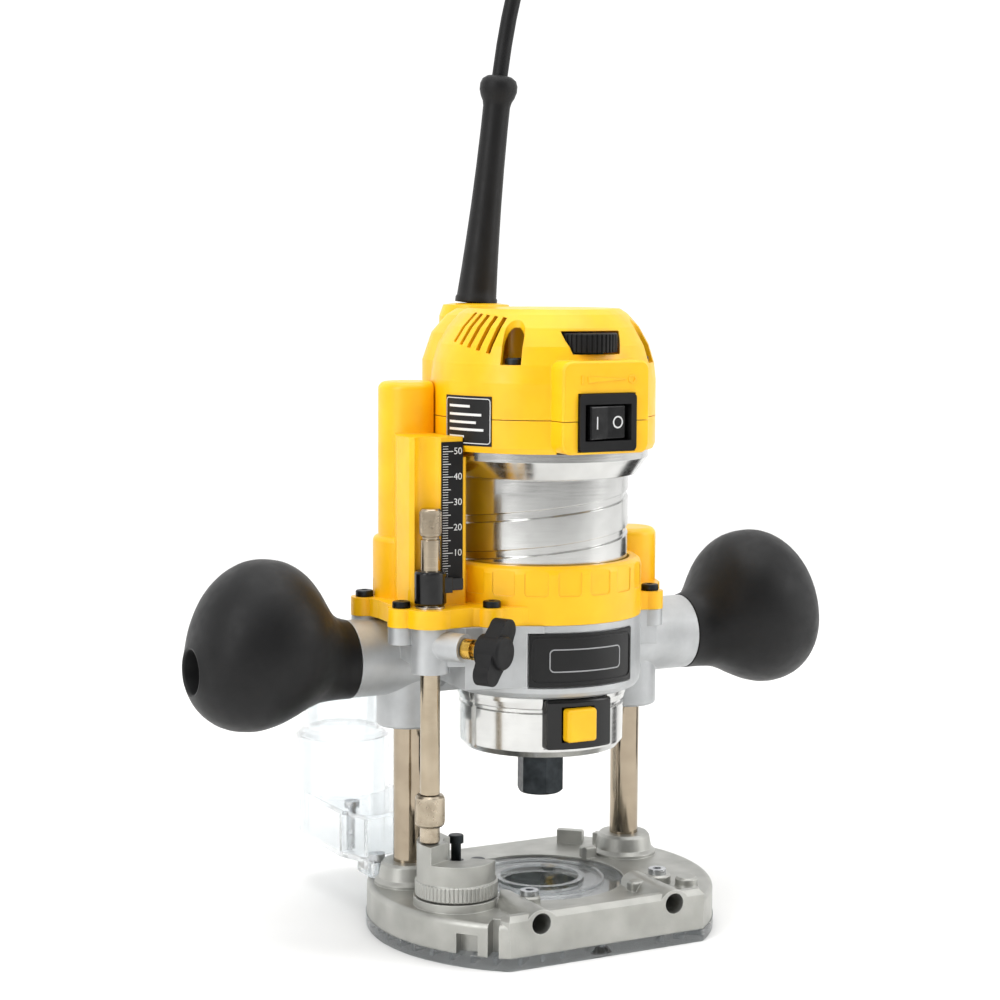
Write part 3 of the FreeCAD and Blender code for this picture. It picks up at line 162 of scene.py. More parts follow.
zinc_plate = plated_steel("zinc_plated_steel", "#A9ABAE", "#C9CBCD", 0.24, 0.36)
black_oxide = plated_steel("black_oxide_steel", "#26292B", "#3A3E41", 0.34, 0.48)
coat(zinc_plate, "hood_screws", "sub_base_screws", "fence_clamp_screws", "turret_pivot_screw",
     "pointer_washer", "clamp_bolt", "lock_pin")
coat(black_oxide, "turret_stop_screws", "handle_bolts")


# ---------------------------------------------------------------- base casting
# Aluminium die casting with a satin, slightly warm skin. The skin is finely pitted from the die,
# and its edges are brighter where they have been tumbled.
def die_cast(name, dark, light, edge, low, high, metallic):
    """Die-cast aluminium: fine pits drawn 0.9 mm apart so that they show, and edges tumbled bright."""
    material, shader = raw_material(name, {"Metallic": metallic})
    place = grained(material, shader, 0.9, 0.06, 0.5)
    shade = mottled(material, shader, place, dark, light, 12.0)
    worn_edges(material, shader, shade, edge, 0.7, 0.6)
    rough_patches(material, shader, place, low, high, 3.0)
    return material


satin_casting = die_cast("die_cast_aluminium_satin", "#A2A29D", "#B6B6B1", "#DCDCD8", 0.36, 0.5, 0.8)
coat(satin_casting, "base_casting")


# ---------------------------------------------------------------- guide posts and bushes
# Hollow steel posts, ground and hard chromed, pressed into the base. Round them run bushes of sintered
# bronze.
def ground_steel(name, dark, light, low, high, pitch_mm, relief=0.3):
    """Ground round bar: rings a fraction of a millimetre apart, drawn wider so that they show."""
    material, shader = raw_material(name, {"Metallic": 1.0})
    place = add_node(material, "ShaderNodeTexCoord", {}, {})
    flat = add_node(material, "ShaderNodeMapping", {"Scale": (60.0, 60.0, 1000 / pitch_mm)},
                    {"Vector": (place, "Object")})
    rings = add_node(material, "ShaderNodeTexNoise", {"Scale": 1.0, "Detail": 3.0}, {"Vector": (flat, 0)})
    edge = add_node(material, "ShaderNodeBevel", {"samples": 4, "Radius": 0.0003}, {})
    bump = add_node(material, "ShaderNodeBump", {"Strength": relief, "Distance": 0.00002},
                    {"Height": (rings, 0), "Normal": (edge, "Normal")})
    material.node_tree.links.new(bump.outputs["Normal"], shader.inputs["Normal"])
    sheen = add_node(material, "ShaderNodeMapRange",
                     {"From Min": 0.3, "From Max": 0.7, "To Min": low, "To Max": high},
                     {"Value": (rings, 0)})
    material.node_tree.links.new(sheen.outputs[0], shader.inputs["Roughness"])
    mottled(material, shader, place, dark, light, 9.0)
    return material


coat(ground_steel("ground_chromed_post", "#9A8D7B", "#A69986", 0.1, 0.17, 0.5), "guide_post_left",
     "guide_post_right")
coat(plated_steel("sintered_bronze", "#8A6A46", "#A5835B", 0.42, 0.58, 0.3), "post_bushings")


# ---------------------------------------------------------------- dust cover and hood
# Clear polycarbonate mouldings: the cover in the opening, held by brass screws, and the chamber with
# its hose tube behind the left post.
coat(clear_polycarbonate("clear_hood_polycarbonate", "#F1F5F7", 0.03, 0.09), "dust_hood", "dust_cover")
brass = plated_steel("turned_brass", "#B88F3A", "#D8B25C", 0.2, 0.34)
coat(brass, "insert_screws", "clamp_screw")


# ---------------------------------------------------------------- stop turret
# Die-cast drum with three steps and a fluted rim, turned by hand on its pivot.
coat(die_cast("die_cast_turret_satin", "#A0A09B", "#B2B2AD", "#DCDCD8", 0.34, 0.48, 0.85), "stop_turret")


# ---------------------------------------------------------------- depth rod
# Ground 8 mm steel rod. Its head and the fine adjuster at its foot have a diamond knurl,
# rolled into the steel with ridges about 1.2 mm apart.
def skin(name, rows, caps=True, wrap=False, angle=40.0):
    """Mesh over rings of points in mm, one row after the other."""
    count = len(rows[0])
    corners = [Vector(p) * 0.001 for row in rows for p in row]
    faces = []
    for r in range(len(rows) if wrap else len(rows) - 1):
        below, above = r * count, (r + 1) % len(rows) * count
        for c in range(count):
            d = (c + 1) % count
            faces.append((below + c, below + d, above + d, above + c))
    if caps and not wrap:
        faces.append(tuple(reversed(range(count))))
        faces.append(tuple((len(rows) - 1) * count + c for c in range(count)))
    mesh = bpy.data.meshes.new(name)
    mesh.from_pydata(corners, [], faces)
    form = bmesh.new()
    form.from_mesh(mesh)
    bmesh.ops.recalc_face_normals(form, faces=form.faces)
    form.to_mesh(mesh)
    form.free()
    mesh.shade_smooth()
    mesh.set_sharp_from_angle(angle=math.radians(angle))
    piece = bpy.data.objects.new(name, mesh)
    bpy.context.scene.collection.objects.link(piece)
    return piece


def fit(piece, material, body, slot_name, *stands_for):
    """Finish a new piece and fix it to the body that it moves with."""
    piece.data.materials.clear()
    piece.data.materials.append(material)
    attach(piece, body)
    if stands_for:
        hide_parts(*stands_for)
    return piece


def knurled_sleeve(name, x, y, z0, z1, bore, radius, ridge, teeth):
    """Sleeve with a diamond knurl between two plain bevels."""
    sides = teeth * 4
    rows = []
    steps = max(8, int((z1 - z0) / 0.22))
    twist = teeth / (2 * math.pi * radius)
    for step in range(steps + 1):
        z = z0 + (z1 - z0) * step / steps
        fade = min(1.0, (z - z0) / 0.7, (z1 - z) / 0.7)
        row = []
        for side in range(sides):
            turn = 2 * math.pi * side / sides
            lean = (z - z0) * twist
            left = abs((teeth * turn / (2 * math.pi) + lean) % 1.0 - 0.5) * 2
            right = abs((teeth * turn / (2 * math.pi) - lean) % 1.0 - 0.5) * 2
            r = radius + fade * ridge * (min(left, right) - 0.35)
            row.append((x + r * math.cos(turn), y + r * math.sin(turn), z))
        rows.append(row)
    for z, r in ((z1, bore), (z0, bore)):
        rows.append([(x + r * math.cos(2 * math.pi * s / sides),
                      y + r * math.sin(2 * math.pi * s / sides), z) for s in range(sides)])
    return skin(name, rows, wrap=True)


ROD = (-58.7, -17.3)
rod_steel = ground_steel("ground_rod_steel", "#A0937F", "#AFA28E", 0.14, 0.22, 0.5)
knurl_steel = plated_steel("knurled_steel", "#9C907E", "#BDB19E", 0.24, 0.36)
coat(rod_steel, "depth_rod")
coat(knurl_steel, "fine_adjuster")
fit(knurled_sleeve("rod_head_knurl", *ROD, 163.9, 173.2, 3.5, 3.98, 0.7, 22), knurl_steel, "depth_rod",
    "knurled_steel")
fit(knurled_sleeve("adjuster_knurl", *ROD, 51.0, 61.2, 5.1, 5.6, 0.7, 28), knurl_steel, "adjuster",
    "knurled_steel")


# ---------------------------------------------------------------- plunge springs
# Compression springs of drawn wire inside the posts. Their top end hangs in the tower and their foot rests
# on the base.
# On the tool the coils close up by the full stroke of the plunge; here each spring is one rigid coil that
# moves with the carriage.
SPRING_FOOT, STROKE, SPRING_R, WIRE_R = 30.2, 55.0, 3.7, 0.6
POST_X, POST_Y = 51.0, 18.0


def coil_spring(name, x, y, top, turns):
    rows = []
    rise = (top - SPRING_FOOT - 2 * WIRE_R) / (turns * 24)
    for step in range(turns * 24 + 1):
        a = 2 * math.pi * step / 24
        z = SPRING_FOOT + WIRE_R + rise * step
        rows.append([(x + (SPRING_R + WIRE_R * math.cos(b)) * math.cos(a),
                      y + (SPRING_R + WIRE_R * math.cos(b)) * math.sin(a), z + WIRE_R * math.sin(b))
                     for b in (2 * math.pi * n / 8 for n in range(8))])
    return skin(name, rows)


spring_wire = plated_steel("drawn_spring_wire", "#6D6F72", "#85888B", 0.3, 0.42)
for side, x, top, turns in (("left", -POST_X, 218.4, 26), ("right", POST_X, 155.5, 18)):
    spring = fit(coil_spring("plunge_spring_" + side, x, POST_Y, top, turns), spring_wire, "carriage",
                 "spring_steel", "spring_" + side)
    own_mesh(spring)


# ---------------------------------------------------------------- carriage casting and badge
# Aluminium die casting, sprayed with silver paint: a fine flake under a thin clear coat, over a
# skin that still shows the die. The badge in front is a plain black plate with a narrow raised rim.
def silver_paint(name, dark, light, edge):
    """Sprayed silver: fine flake that blurs reflections, with brighter rubbed edges."""
    material, shader = raw_material(name, {"Metallic": 0.62, "Coat Weight": 0.15, "Coat Roughness": 0.35})
    place = grained(material, shader, 0.7, 0.03, 0.6)
    shade = mottled(material, shader, place, dark, light, 15.0)
    worn_edges(material, shader, shade, edge, 0.8, 0.45)
    rough_patches(material, shader, place, 0.4, 0.52, 1.6)
    return material


silver = silver_paint("silver_sprayed_casting", "#AEB0B1", "#C0C2C3", "#DADBDB")
coat(silver, "carriage_casting")


def moulded(name, dark, light, edge, low, high, grain_mm=0.5, depth_mm=0.02, wear=0.35, sockets=None):
    """Injection moulded ABS or nylon: even colour, a spark-eroded grain and slightly paler edges."""
    material, shader = raw_material(name, {"IOR": 1.5, **(sockets or {})})
    place = grained(material, shader, grain_mm, depth_mm, 0.5)
    shade = mottled(material, shader, place, dark, light, 18.0)
    worn_edges(material, shader, shade, edge, 0.6, wear)
    rough_patches(material, shader, place, low, high, 4.0)
    return material


satin_black = moulded("satin_black_abs", "#0C0C0D", "#121213", "#2C2C2E", 0.3, 0.4,
                      sockets={"Specular IOR Level": 0.35})
gloss_black = moulded("gloss_black_abs", "#080809", "#0D0D0E", "#202022", 0.12, 0.2, 1.2, 0.008,
                      sockets={"Specular IOR Level": 0.4})
matt_black = moulded("matt_black_nylon", "#0F0F10", "#161617", "#303032", 0.48, 0.6, 0.5, 0.03,
                     sockets={"Specular IOR Level": 0.25})
coat(satin_black, "badge_plate")


def hoop(name, place, half_across, half_up, corner, width, thick):
    """Thin raised rim along a rectangle with round corners; place turns (across, up, out) to a point."""
    path = []
    for cx, cy, start in ((1, 1, 0), (-1, 1, 90), (-1, -1, 180), (1, -1, 270)):
        for step in range(9):
            a = math.radians(start + step * 11.25)
            path.append((cx * (half_across - corner), cy * (half_up - corner), math.cos(a), math.sin(a)))
    dense = []
    for (ax, ay, ac, asn), (bx, by, bc, bs) in zip(path, path[1:] + path[:1]):
        hops = max(1, int(math.hypot(bx - ax, by - ay) / 2.5))
        for hop in range(hops):
            t = hop / hops
            dense.append((ax + (bx - ax) * t, ay + (by - ay) * t, ac + (bc - ac) * t, asn + (bs - asn) * t))
    rows = []
    for x, y, c, s in dense:
        outer, inner = corner, corner - width
        rows.append([place(x + c * outer, y + s * outer, 0.0), place(x + c * outer, y + s * outer, thick),
                     place(x + c * inner, y + s * inner, thick), place(x + c * inner, y + s * inner, 0.0)])
    return skin(name, rows, wrap=True, angle=30.0)


BADGE_R = 40.5


def on_badge(across, up, out):
    turn = across / BADGE_R - math.radians(2.0)
    r = BADGE_R - 0.05 + out
    return (r * math.sin(turn), -r * math.cos(turn), 114.5 + up)


fit(hoop("badge_rim", on_badge, 23.2, 9.2, 3.0, 0.8, 0.35), satin_black, "carriage", "badge_black")
fit(hoop("badge_inlay", on_badge, 16.0, 4.6, 2.0, 0.5, 0.12),
    moulded("printed_grey", "#9B9C9E", "#A8A9AB", "#B5B6B8", 0.35, 0.45), "carriage", "badge_black")


# ---------------------------------------------------------------- cover, ruler and pointer
# Glass-filled nylon moulding in the maker's yellow, screwed on the casting. The ruler strip is printed
# white on black: a line each millimetre and a number each ten.
yellow_abs = moulded("yellow_moulded_nylon", "#F6B900", "#FDC408", "#FFD54A", 0.3, 0.42, 0.6, 0.018, 0.35,
                     {"Subsurface Weight": 0.04, "Subsurface Radius": (0.003, 0.0016, 0.0006)})
coat(yellow_abs, "collar_cover", "cap_upper", "cap_lower", "lock_button")
coat(black_oxide, "cover_screws")
coat(matt_black, "depth_scale")
coat(gloss_black, "rod_pointer")

STRIP_X0, STRIP_Y = -52.6, -14.6
printed_white = moulded("printed_white", "#E2E3E2", "#EDEEED", "#F4F4F4", 0.4, 0.5)


def slabs(name, boxes):
    """One mesh of small upright blocks, each (x0, x1, y0, y1, z0, z1) in mm."""
    form = bmesh.new()
    for x0, x1, y0, y1, z0, z1 in boxes:
        corners = [form.verts.new(Vector((x, y, z)) * 0.001) for z in (z0, z1)
                   for x, y in ((x0, y0), (x1, y0), (x1, y1), (x0, y1))]
        for face in ((3, 2, 1, 0), (4, 5, 6, 7), (0, 1, 5, 4), (1, 2, 6, 5), (2, 3, 7, 6), (3, 0, 4, 7)):
            form.faces.new([corners[n] for n in face])
    mesh = bpy.data.meshes.new(name)
    form.to_mesh(mesh)
    form.free()
    piece = bpy.data.objects.new(name, mesh)
    bpy.context.scene.collection.objects.link(piece)
    return piece


def ruler_lines():
    lines = []
    for mark in range(0, 53):
        z = 146.0 + mark * 0.988
        reach = 4.4 if mark % 10 == 0 else 3.4 if mark % 5 == 0 else 2.3
        half = 0.16 if mark % 5 == 0 else 0.11
        lines.append((STRIP_X0 + 0.5, STRIP_X0 + 0.5 + reach, STRIP_Y - 0.05, STRIP_Y + 0.02,
                      z - half, z + half))
    return lines


def numerals(name, words, place):
    """Flat printed figures; place gives the matrix of a figure at its (x, y, z, height)."""
    form = bmesh.new()
    for text, spot in words:
        curve = bpy.data.curves.new(name, "FONT")
        curve.body = text
        curve.align_x, curve.align_y = "CENTER", "CENTER"
        curve.extrude = 0.00003
        holder = bpy.data.objects.new(name + "_figure", curve)
        bpy.context.scene.collection.objects.link(holder)
        bpy.context.view_layer.update()
        flat = bpy.data.meshes.new_from_object(holder.evaluated_get(bpy.context.evaluated_depsgraph_get()))
        flat.transform(place(*spot))
        form.from_mesh(flat)
        bpy.data.objects.remove(holder)
        bpy.data.curves.remove(curve)
        bpy.data.meshes.remove(flat)
    mesh = bpy.data.meshes.new(name)
    form.to_mesh(mesh)
    form.free()
    piece = bpy.data.objects.new(name, mesh)
    bpy.context.scene.collection.objects.link(piece)
    return piece


def facing_front(x, y, z, height):
    """Upright figure of this height in mm, read from the front."""
    return (Matrix.Translation(Vector((x, y, z)) * 0.001) @ Matrix.Rotation(math.radians(90.0), 4, "X")
            @ Matrix.Diagonal((height * 0.001, height * 0.001, 1.0, 1.0)))


fit(slabs("ruler_lines", ruler_lines()), printed_white, "carriage", "scale_black")
fit(numerals("ruler_figures", [(str(n), (STRIP_X0 + 7.0, STRIP_Y - 0.02, 146.0 + n * 0.988, 3.7))
                               for n in (10, 20, 30, 40, 50)], facing_front), printed_white, "carriage",
    "scale_black")


# ---------------------------------------------------------------- handles
# Ball handles: a hard nylon core with a soft rubber skin, fuller above the arm than below it, drawn
# against the arm by a bolt sunk in the end.
def soft_rubber(name, dark, light, edge, low, high, grain_mm, depth_mm):
    """Matt rubber skin: fine leathery grain, a soft sheen at glancing light."""
    material, shader = raw_material(name, {"IOR": 1.5, "Specular IOR Level": 0.25, "Sheen Weight": 0.04,
                                           "Sheen Roughness": 0.5})
    place = grained(material, shader, grain_mm, depth_mm, 0.5)
    shade = mottled(material, shader, place, dark, light, 14.0)
    worn_edges(material, shader, shade, edge, 0.8, 0.3)
    rough_patches(material, shader, place, low, high, 5.0)
    return material


handle_rubber = soft_rubber("handle_soft_rubber", "#0D0D0E", "#131314", "#222224", 0.42, 0.54, 0.5, 0.03)
HANDLE_Y, HANDLE_Z = 18.0, 111.5
HANDLE_TOP = ((78.4, 15.7), (83.0, 17.2), (87.0, 20.6), (90.5, 26.0), (94.0, 31.6), (98.0, 36.2),
              (104.0, 40.0), (111.0, 41.6), (118.0, 41.4), (125.0, 38.8), (131.0, 34.4), (136.0, 28.4),
              (140.0, 20.5), (142.6, 12.0), (143.4, 9.6))
HANDLE_LOW = ((78.4, -15.7), (86.0, -15.8), (93.0, -16.4), (99.0, -18.4), (105.0, -21.2), (112.0, -23.8),
              (119.0, -25.0), (126.0, -24.4), (132.0, -22.4), (137.0, -19.0), (140.5, -15.2), (142.6, -11.6),
              (143.4, -9.6))
HANDLE_DEEP = ((78.4, 15.7), (84.0, 16.2), (90.0, 19.6), (97.0, 25.0), (104.0, 28.2), (112.0, 29.6),
               (120.0, 29.0), (128.0, 26.2), (134.0, 22.4), (139.0, 17.0), (142.4, 11.4), (143.4, 9.6))


def along(stations, x):
    """Value at x on a smooth line through the stations."""
    points = list(stations)
    if x <= points[0][0]:
        return points[0][1]
    if x >= points[-1][0]:
        return points[-1][1]
    for n in range(len(points) - 1):
        (x0, v0), (x1, v1) = points[n], points[n + 1]
        if x0 <= x <= x1:
            before = points[max(n - 1, 0)]
            after = points[min(n + 2, len(points) - 1)]
            slope0 = (v1 - before[1]) / (x1 - before[0])
            slope1 = (after[1] - v0) / (after[0] - x0)
            t = (x - x0) / (x1 - x0)
            h = x1 - x0
            return ((2 * t ** 3 - 3 * t ** 2 + 1) * v0 + (t ** 3 - 2 * t ** 2 + t) * h * slope0
                    + (3 * t ** 2 - 2 * t ** 3) * v1 + (t ** 3 - t ** 2) * h * slope1)


def ball_handle(name, side):
    rows = []
    reach = 143.4 - 78.4
    for step in range(49):
        x = 78.4 + reach * math.sin(math.pi / 2 * step / 48)
        top, low, deep = along(HANDLE_TOP, x), along(HANDLE_LOW, x), along(HANDLE_DEEP, x)
        middle, half = (top + low) / 2, (top - low) / 2
        rows.append([(side * x, HANDLE_Y + deep * math.cos(a), HANDLE_Z + middle + half * math.sin(a))
                     for a in (2 * math.pi * n / 56 for n in range(56))])
    # well for the bolt: round lip, straight wall and floor
    for x, r in ((143.2, 8.9), (142.4, 8.6), (132.5, 8.5), (131.9, 8.2), (131.8, 5.2)):
        rows.append([(side * x, HANDLE_Y + r * math.cos(a), HANDLE_Z + r * math.sin(a))
                     for a in (2 * math.pi * n / 56 for n in range(56))])
    return skin(name, rows, angle=55.0)


fit(ball_handle("left_ball_handle", -1), handle_rubber, "carriage", "handle_rubber", "handle_left")
fit(ball_handle("right_ball_handle", 1), handle_rubber, "carriage", "handle_rubber", "handle_right")


# ---------------------------------------------------------------- knob and levers
# Two-lobed nylon knob on a brass screw, which clamps the depth rod. At the back, a lever locks the
# plunge and another closes the split boss on the motor.
coat(matt_black, "clamp_knob", "plunge_lock_lever", "motor_clamp_lever")


# ---------------------------------------------------------------- motor can
# Aluminium, turned bright on a lathe: the tool leaves rings a few tenths of a millimetre apart.
# Helical grooves in it set the height of the motor.
turned_aluminium = ground_steel("turned_bright_aluminium", "#C6C6C4", "#D0D0CE", 0.15, 0.23, 0.7, 0.1)
coat(turned_aluminium, "motor_can")


# ---------------------------------------------------------------- inside the motor
# Stator and armature of stacked steel sheet with enamelled copper windings, copper commutator, carbon
# brushes in a moulded ring, ground bearings and the collet of hardened steel under its black nut.
coat(plated_steel("stacked_sheet_steel", "#606265", "#77797C", 0.4, 0.52), "stator_core", "wound_rotor")
coat(plated_steel("enamelled_copper", "#9A4F28", "#B5683A", 0.26, 0.38), "stator_windings", "commutator")
coat(moulded("carbon_brush", "#1B1B1C", "#262627", "#333334", 0.55, 0.7), "carbon_brushes")
coat(matt_black, "brush_holder_ring", "cooling_fan", "switch_body")
coat(moulded("circuit_board_green", "#1C4A2A", "#235a33", "#3F7A50", 0.35, 0.45), "speed_board")
coat(plated_steel("ground_bearing_steel", "#A6A8AA", "#BFC1C3", 0.16, 0.26), "lower_bearing",
     "upper_bearing", "armature_shaft", "collet")
coat(black_oxide, "collet_nut")


# ---------------------------------------------------------------- spindle lock
# Gloss black frame let into the can, with a sprung yellow button that pushes a steel pin into the spindle.
coat(gloss_black, "lock_bezel")


# ---------------------------------------------------------------- rocker, dial and marks
# Rocker with its on and off marks printed white; above it the same marks and a long wedge are moulded
# on the panel. The dial is a ribbed wheel that stands through a slot.
coat(gloss_black, "rocker")
coat(matt_black, "speed_dial")


def ring_mark(name, centre, radius, width, thick):
    """Small raised ring on the panel or rocker, facing the front."""
    rows = []
    for n in range(28):
        a = 2 * math.pi * n / 28
        c, s = math.cos(a), math.sin(a)
        rows.append([(centre[0] + c * r, centre[1] + y, centre[2] + s * r)
                     for r, y in ((radius, 0.1), (radius, -thick),
                                  (radius - width, -thick), (radius - width, 0.1))])
    return skin(name, rows, wrap=True, angle=30.0)


fit(slabs("panel_on_mark", [(-11.3, -10.7, -50.35, -49.9, 222.2, 225.6)]), yellow_abs, "carriage",
    "yellow_cap")
fit(ring_mark("panel_off_mark", (11.0, -50.0, 223.9), 1.7, 0.55, 0.35), yellow_abs, "carriage", "yellow_cap")
fit(skin("panel_wedge", [[(x, -49.9, 223.9 - h), (x, -50.35, 223.9 - h),
                          (x, -50.35, 223.9 + h), (x, -49.9, 223.9 + h)]
                         for x, h in ((-8.5, 1.35), (-4.0, 1.0), (0.0, 0.7), (4.0, 0.42), (8.0, 0.2))],
         angle=30.0),
    yellow_abs, "carriage", "yellow_cap")


def rocker_face(x):
    """Distance of the rocker's face from the motor axis at x."""
    return -50.6 - 2.0 * max(0.0, -x) / 8.6 + 1.0 * max(0.0, x) / 8.6


fit(skin("rocker_on_mark", [[(x, rocker_face(x) + 0.1, 207.5 - 2.4), (x, rocker_face(x) - 0.06, 207.5 - 2.4),
                             (x, rocker_face(x) - 0.06, 207.5 + 2.4), (x, rocker_face(x) + 0.1, 207.5 + 2.4)]
                            for x in (-5.5, -4.9)], angle=30.0), printed_white, "rocker", "rocker_black")
off_rows = []
for n in range(28):
    c, s = math.cos(2 * math.pi * n / 28), math.sin(2 * math.pi * n / 28)
    off_rows.append([(4.9 + c * r, rocker_face(4.9 + c * r) + y, 207.5 + s * r)
                     for r, y in ((2.4, 0.1), (2.4, -0.06), (1.8, -0.06), (1.8, 0.1))])
fit(skin("rocker_off_mark", off_rows, wrap=True, angle=30.0), printed_white, "rocker", "rocker_black")


# ---------------------------------------------------------------- data label
# Thin printed label on the cap's left shoulder: a plain rim and rows of bars, without words.
coat(satin_black, "info_plate")
LABEL_R = 45.45


def on_label(across, up, out):
    turn = math.radians(200.0) + across / LABEL_R
    r = LABEL_R - 0.03 + out
    return (r * math.cos(turn), r * math.sin(turn), 207.2 + up)


fit(hoop("label_rim", on_label, 11.6, 8.8, 1.4, 0.35, 0.08), printed_white, "carriage", "label_black")
for row, (start, end, up) in enumerate(((-9.5, 2.0, 5.6), (-9.5, 7.5, 2.4), (-9.5, 5.0, -0.6),
                                        (-9.5, 8.5, -3.4),
                                        (-9.5, -1.0, -6.2))):
    bar_rows = []
    for step in range(9):
        across = start + (end - start) * step / 8
        bar_rows.append([on_label(across, up + h, out) for h, out in
                         ((-0.5, 0.0), (-0.5, 0.07), (0.5, 0.07), (0.5, 0.0))])
    fit(skin("label_bar_%d" % (row + 1), bar_rows, angle=30.0), printed_white, "carriage", "label_black")


# ---------------------------------------------------------------- cord boot
# Moulded rubber sleeve, 92 mm long, that tapers from the gland on the cap to a rounded bead, so that
# the cord can't kink where it leaves the motor.
cord_rubber = soft_rubber("cord_sheath_rubber", "#0E0E0F", "#141415", "#222224", 0.44, 0.56, 0.4, 0.015)
BOOT_FOOT = Vector((-8.0, 43.0, 251.25))
CORD_EXIT = Vector((2.6, 43.0, 344.0))
BOOT_PROFILE = ((0.0, 8.7), (2.0, 8.7), (2.8, 8.2), (6.0, 8.0), (14.0, 7.5), (26.0, 6.9), (40.0, 6.3),
                (56.0, 5.85),
                (72.0, 5.6), (81.0, 5.6), (83.0, 6.0), (85.0, 7.0), (87.5, 7.75), (90.0, 7.75), (92.0, 7.0),
                (93.3, 5.2), (93.35, 3.4))
boot_axis = (CORD_EXIT - BOOT_FOOT).normalized()
boot_side = boot_axis.cross(Vector((0.0, 1.0, 0.0))).normalized()
boot_front = boot_axis.cross(boot_side).normalized()


def boot_rings():
    rings = []
    for (s0, r0), (s1, r1) in zip(BOOT_PROFILE, BOOT_PROFILE[1:]):
        hops = max(1, int((s1 - s0) / 2.0))
        for hop in range(hops):
            t = hop / hops
            rings.append((s0 + (s1 - s0) * t, r0 + (r1 - r0) * t))
    return rings + [BOOT_PROFILE[-1]]


boot_rows = [[BOOT_FOOT + boot_axis * s + (boot_side * math.cos(a) + boot_front * math.sin(a)) * r
              for a in (2 * math.pi * n / 40 for n in range(40))] for s, r in boot_rings()]
fit(skin("cord_boot", boot_rows, angle=55.0), cord_rubber, "carriage", "boot_rubber", "strain_relief")


# ---------------------------------------------------------------- mains cord
# Rubber sheathed cord, 6.6 mm thick and about 2.5 m long. It rises in a free arc, comes down beside the
# tool and is put away in a flat coil, its turns side by side in three layers.
ROUTE = ((2.6, 43.0, 344.0), (8.0, 43.0, 383.0), (29.0, 43.0, 424.0), (64.0, 44.0, 453.0),
         (108.0, 45.0, 470.0),
         (158.0, 47.0, 475.0), (208.0, 50.0, 465.0), (254.0, 53.0, 436.0), (287.0, 57.0, 391.0),
         (302.0, 62.0, 335.0), (308.0, 66.0, 272.0), (311.0, 69.0, 205.0), (312.0, 72.0, 145.0),
         (313.0, 74.0, 92.0), (314.0, 74.3, 50.0), (315.0, 69.0, 29.0), (315.8, 54.4, 12.4),
         (316.0, 34.0, 3.5),
         (316.0, 20.0, 3.5))
CORD_THICK = 6.6
COIL = (358.8, 14.0)
COIL_TURNS = ((42.8, 3.5), (36.1, 3.5), (29.4, 3.5), (29.4, 10.15), (36.1, 10.15), (42.8, 10.15),
              (42.8, 16.8))
STEPS_PER_TURN = 24


def coil_points():
    points = []
    for number, (radius, height) in enumerate(COIL_TURNS):
        last = number == len(COIL_TURNS) - 1
        after = COIL_TURNS[number] if last else COIL_TURNS[number + 1]
        for step in range(STEPS_PER_TURN):
            turn = math.pi + 2 * math.pi * step / STEPS_PER_TURN
            # the last eighth of each turn crosses to the next place
            cross = max(0.0, (step / STEPS_PER_TURN - 0.86) / 0.14)
            cross = cross * cross * (3 - 2 * cross)
            r = radius + (after[0] - radius) * cross
            z = height + (after[1] - height) * cross
            points.append((COIL[0] + r * math.cos(turn), COIL[1] + r * math.sin(turn), z))
    return points


cord_points = list(ROUTE) + coil_points()
cord_points += [(COIL[0] - 42.8, COIL[1] - 0.0, 16.8)]
tail = []
for step in range(1, 7):
    turn = math.pi + math.radians(15.0 * step)
    tail.append((COIL[0] + 42.8 * math.cos(turn), COIL[1] + 42.8 * math.sin(turn), 16.8 + 0.35 * step))
tail += [(COIL[0] + 11.5, COIL[1] - 40.6, 21.6), (COIL[0] + 21.5, COIL[1] - 35.5, 25.6),
         (COIL[0] + 28.0, COIL[1] - 27.5, 29.0), (COIL[0] + 29.0, COIL[1] - 19.0, 30.0)]
cord_points += tail


def cord_curve(name, thickness):
    curve = bpy.data.curves.new(name, "CURVE")
    curve.dimensions = "3D"
    curve.bevel_depth = thickness / 2000
    curve.bevel_resolution = 5
    curve.use_fill_caps = True
    curve.resolution_u = 6
    line = curve.splines.new("NURBS")
    line.points.add(len(cord_points) - 1)
    for point, spot in zip(line.points, cord_points):
        point.co = (spot[0] / 1000, spot[1] / 1000, spot[2] / 1000, 1.0)
    line.order_u = 3
    line.use_endpoint_u = True
    return curve


def curve_mesh(name, thickness):
    holder = bpy.data.objects.new(name, cord_curve(name, thickness))
    bpy.context.scene.collection.objects.link(holder)
    bpy.context.view_layer.update()
    mesh = bpy.data.meshes.new_from_object(holder.evaluated_get(bpy.context.evaluated_depsgraph_get()))
    bpy.data.objects.remove(holder)
    return mesh


cord_line = [tuple(v.co) for v in curve_mesh("cord_line", 0.0).vertices]
cord_mesh = curve_mesh("mains_cord", CORD_THICK)
cord_mesh.shade_smooth()
mains_cord = bpy.data.objects.new("mains_cord", cord_mesh)
bpy.context.scene.collection.objects.link(mains_cord)
mains_cord.data.materials.clear()
mains_cord.data.materials.append(cord_rubber)
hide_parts("cord_lead", "cord_coil")
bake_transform(mains_cord)


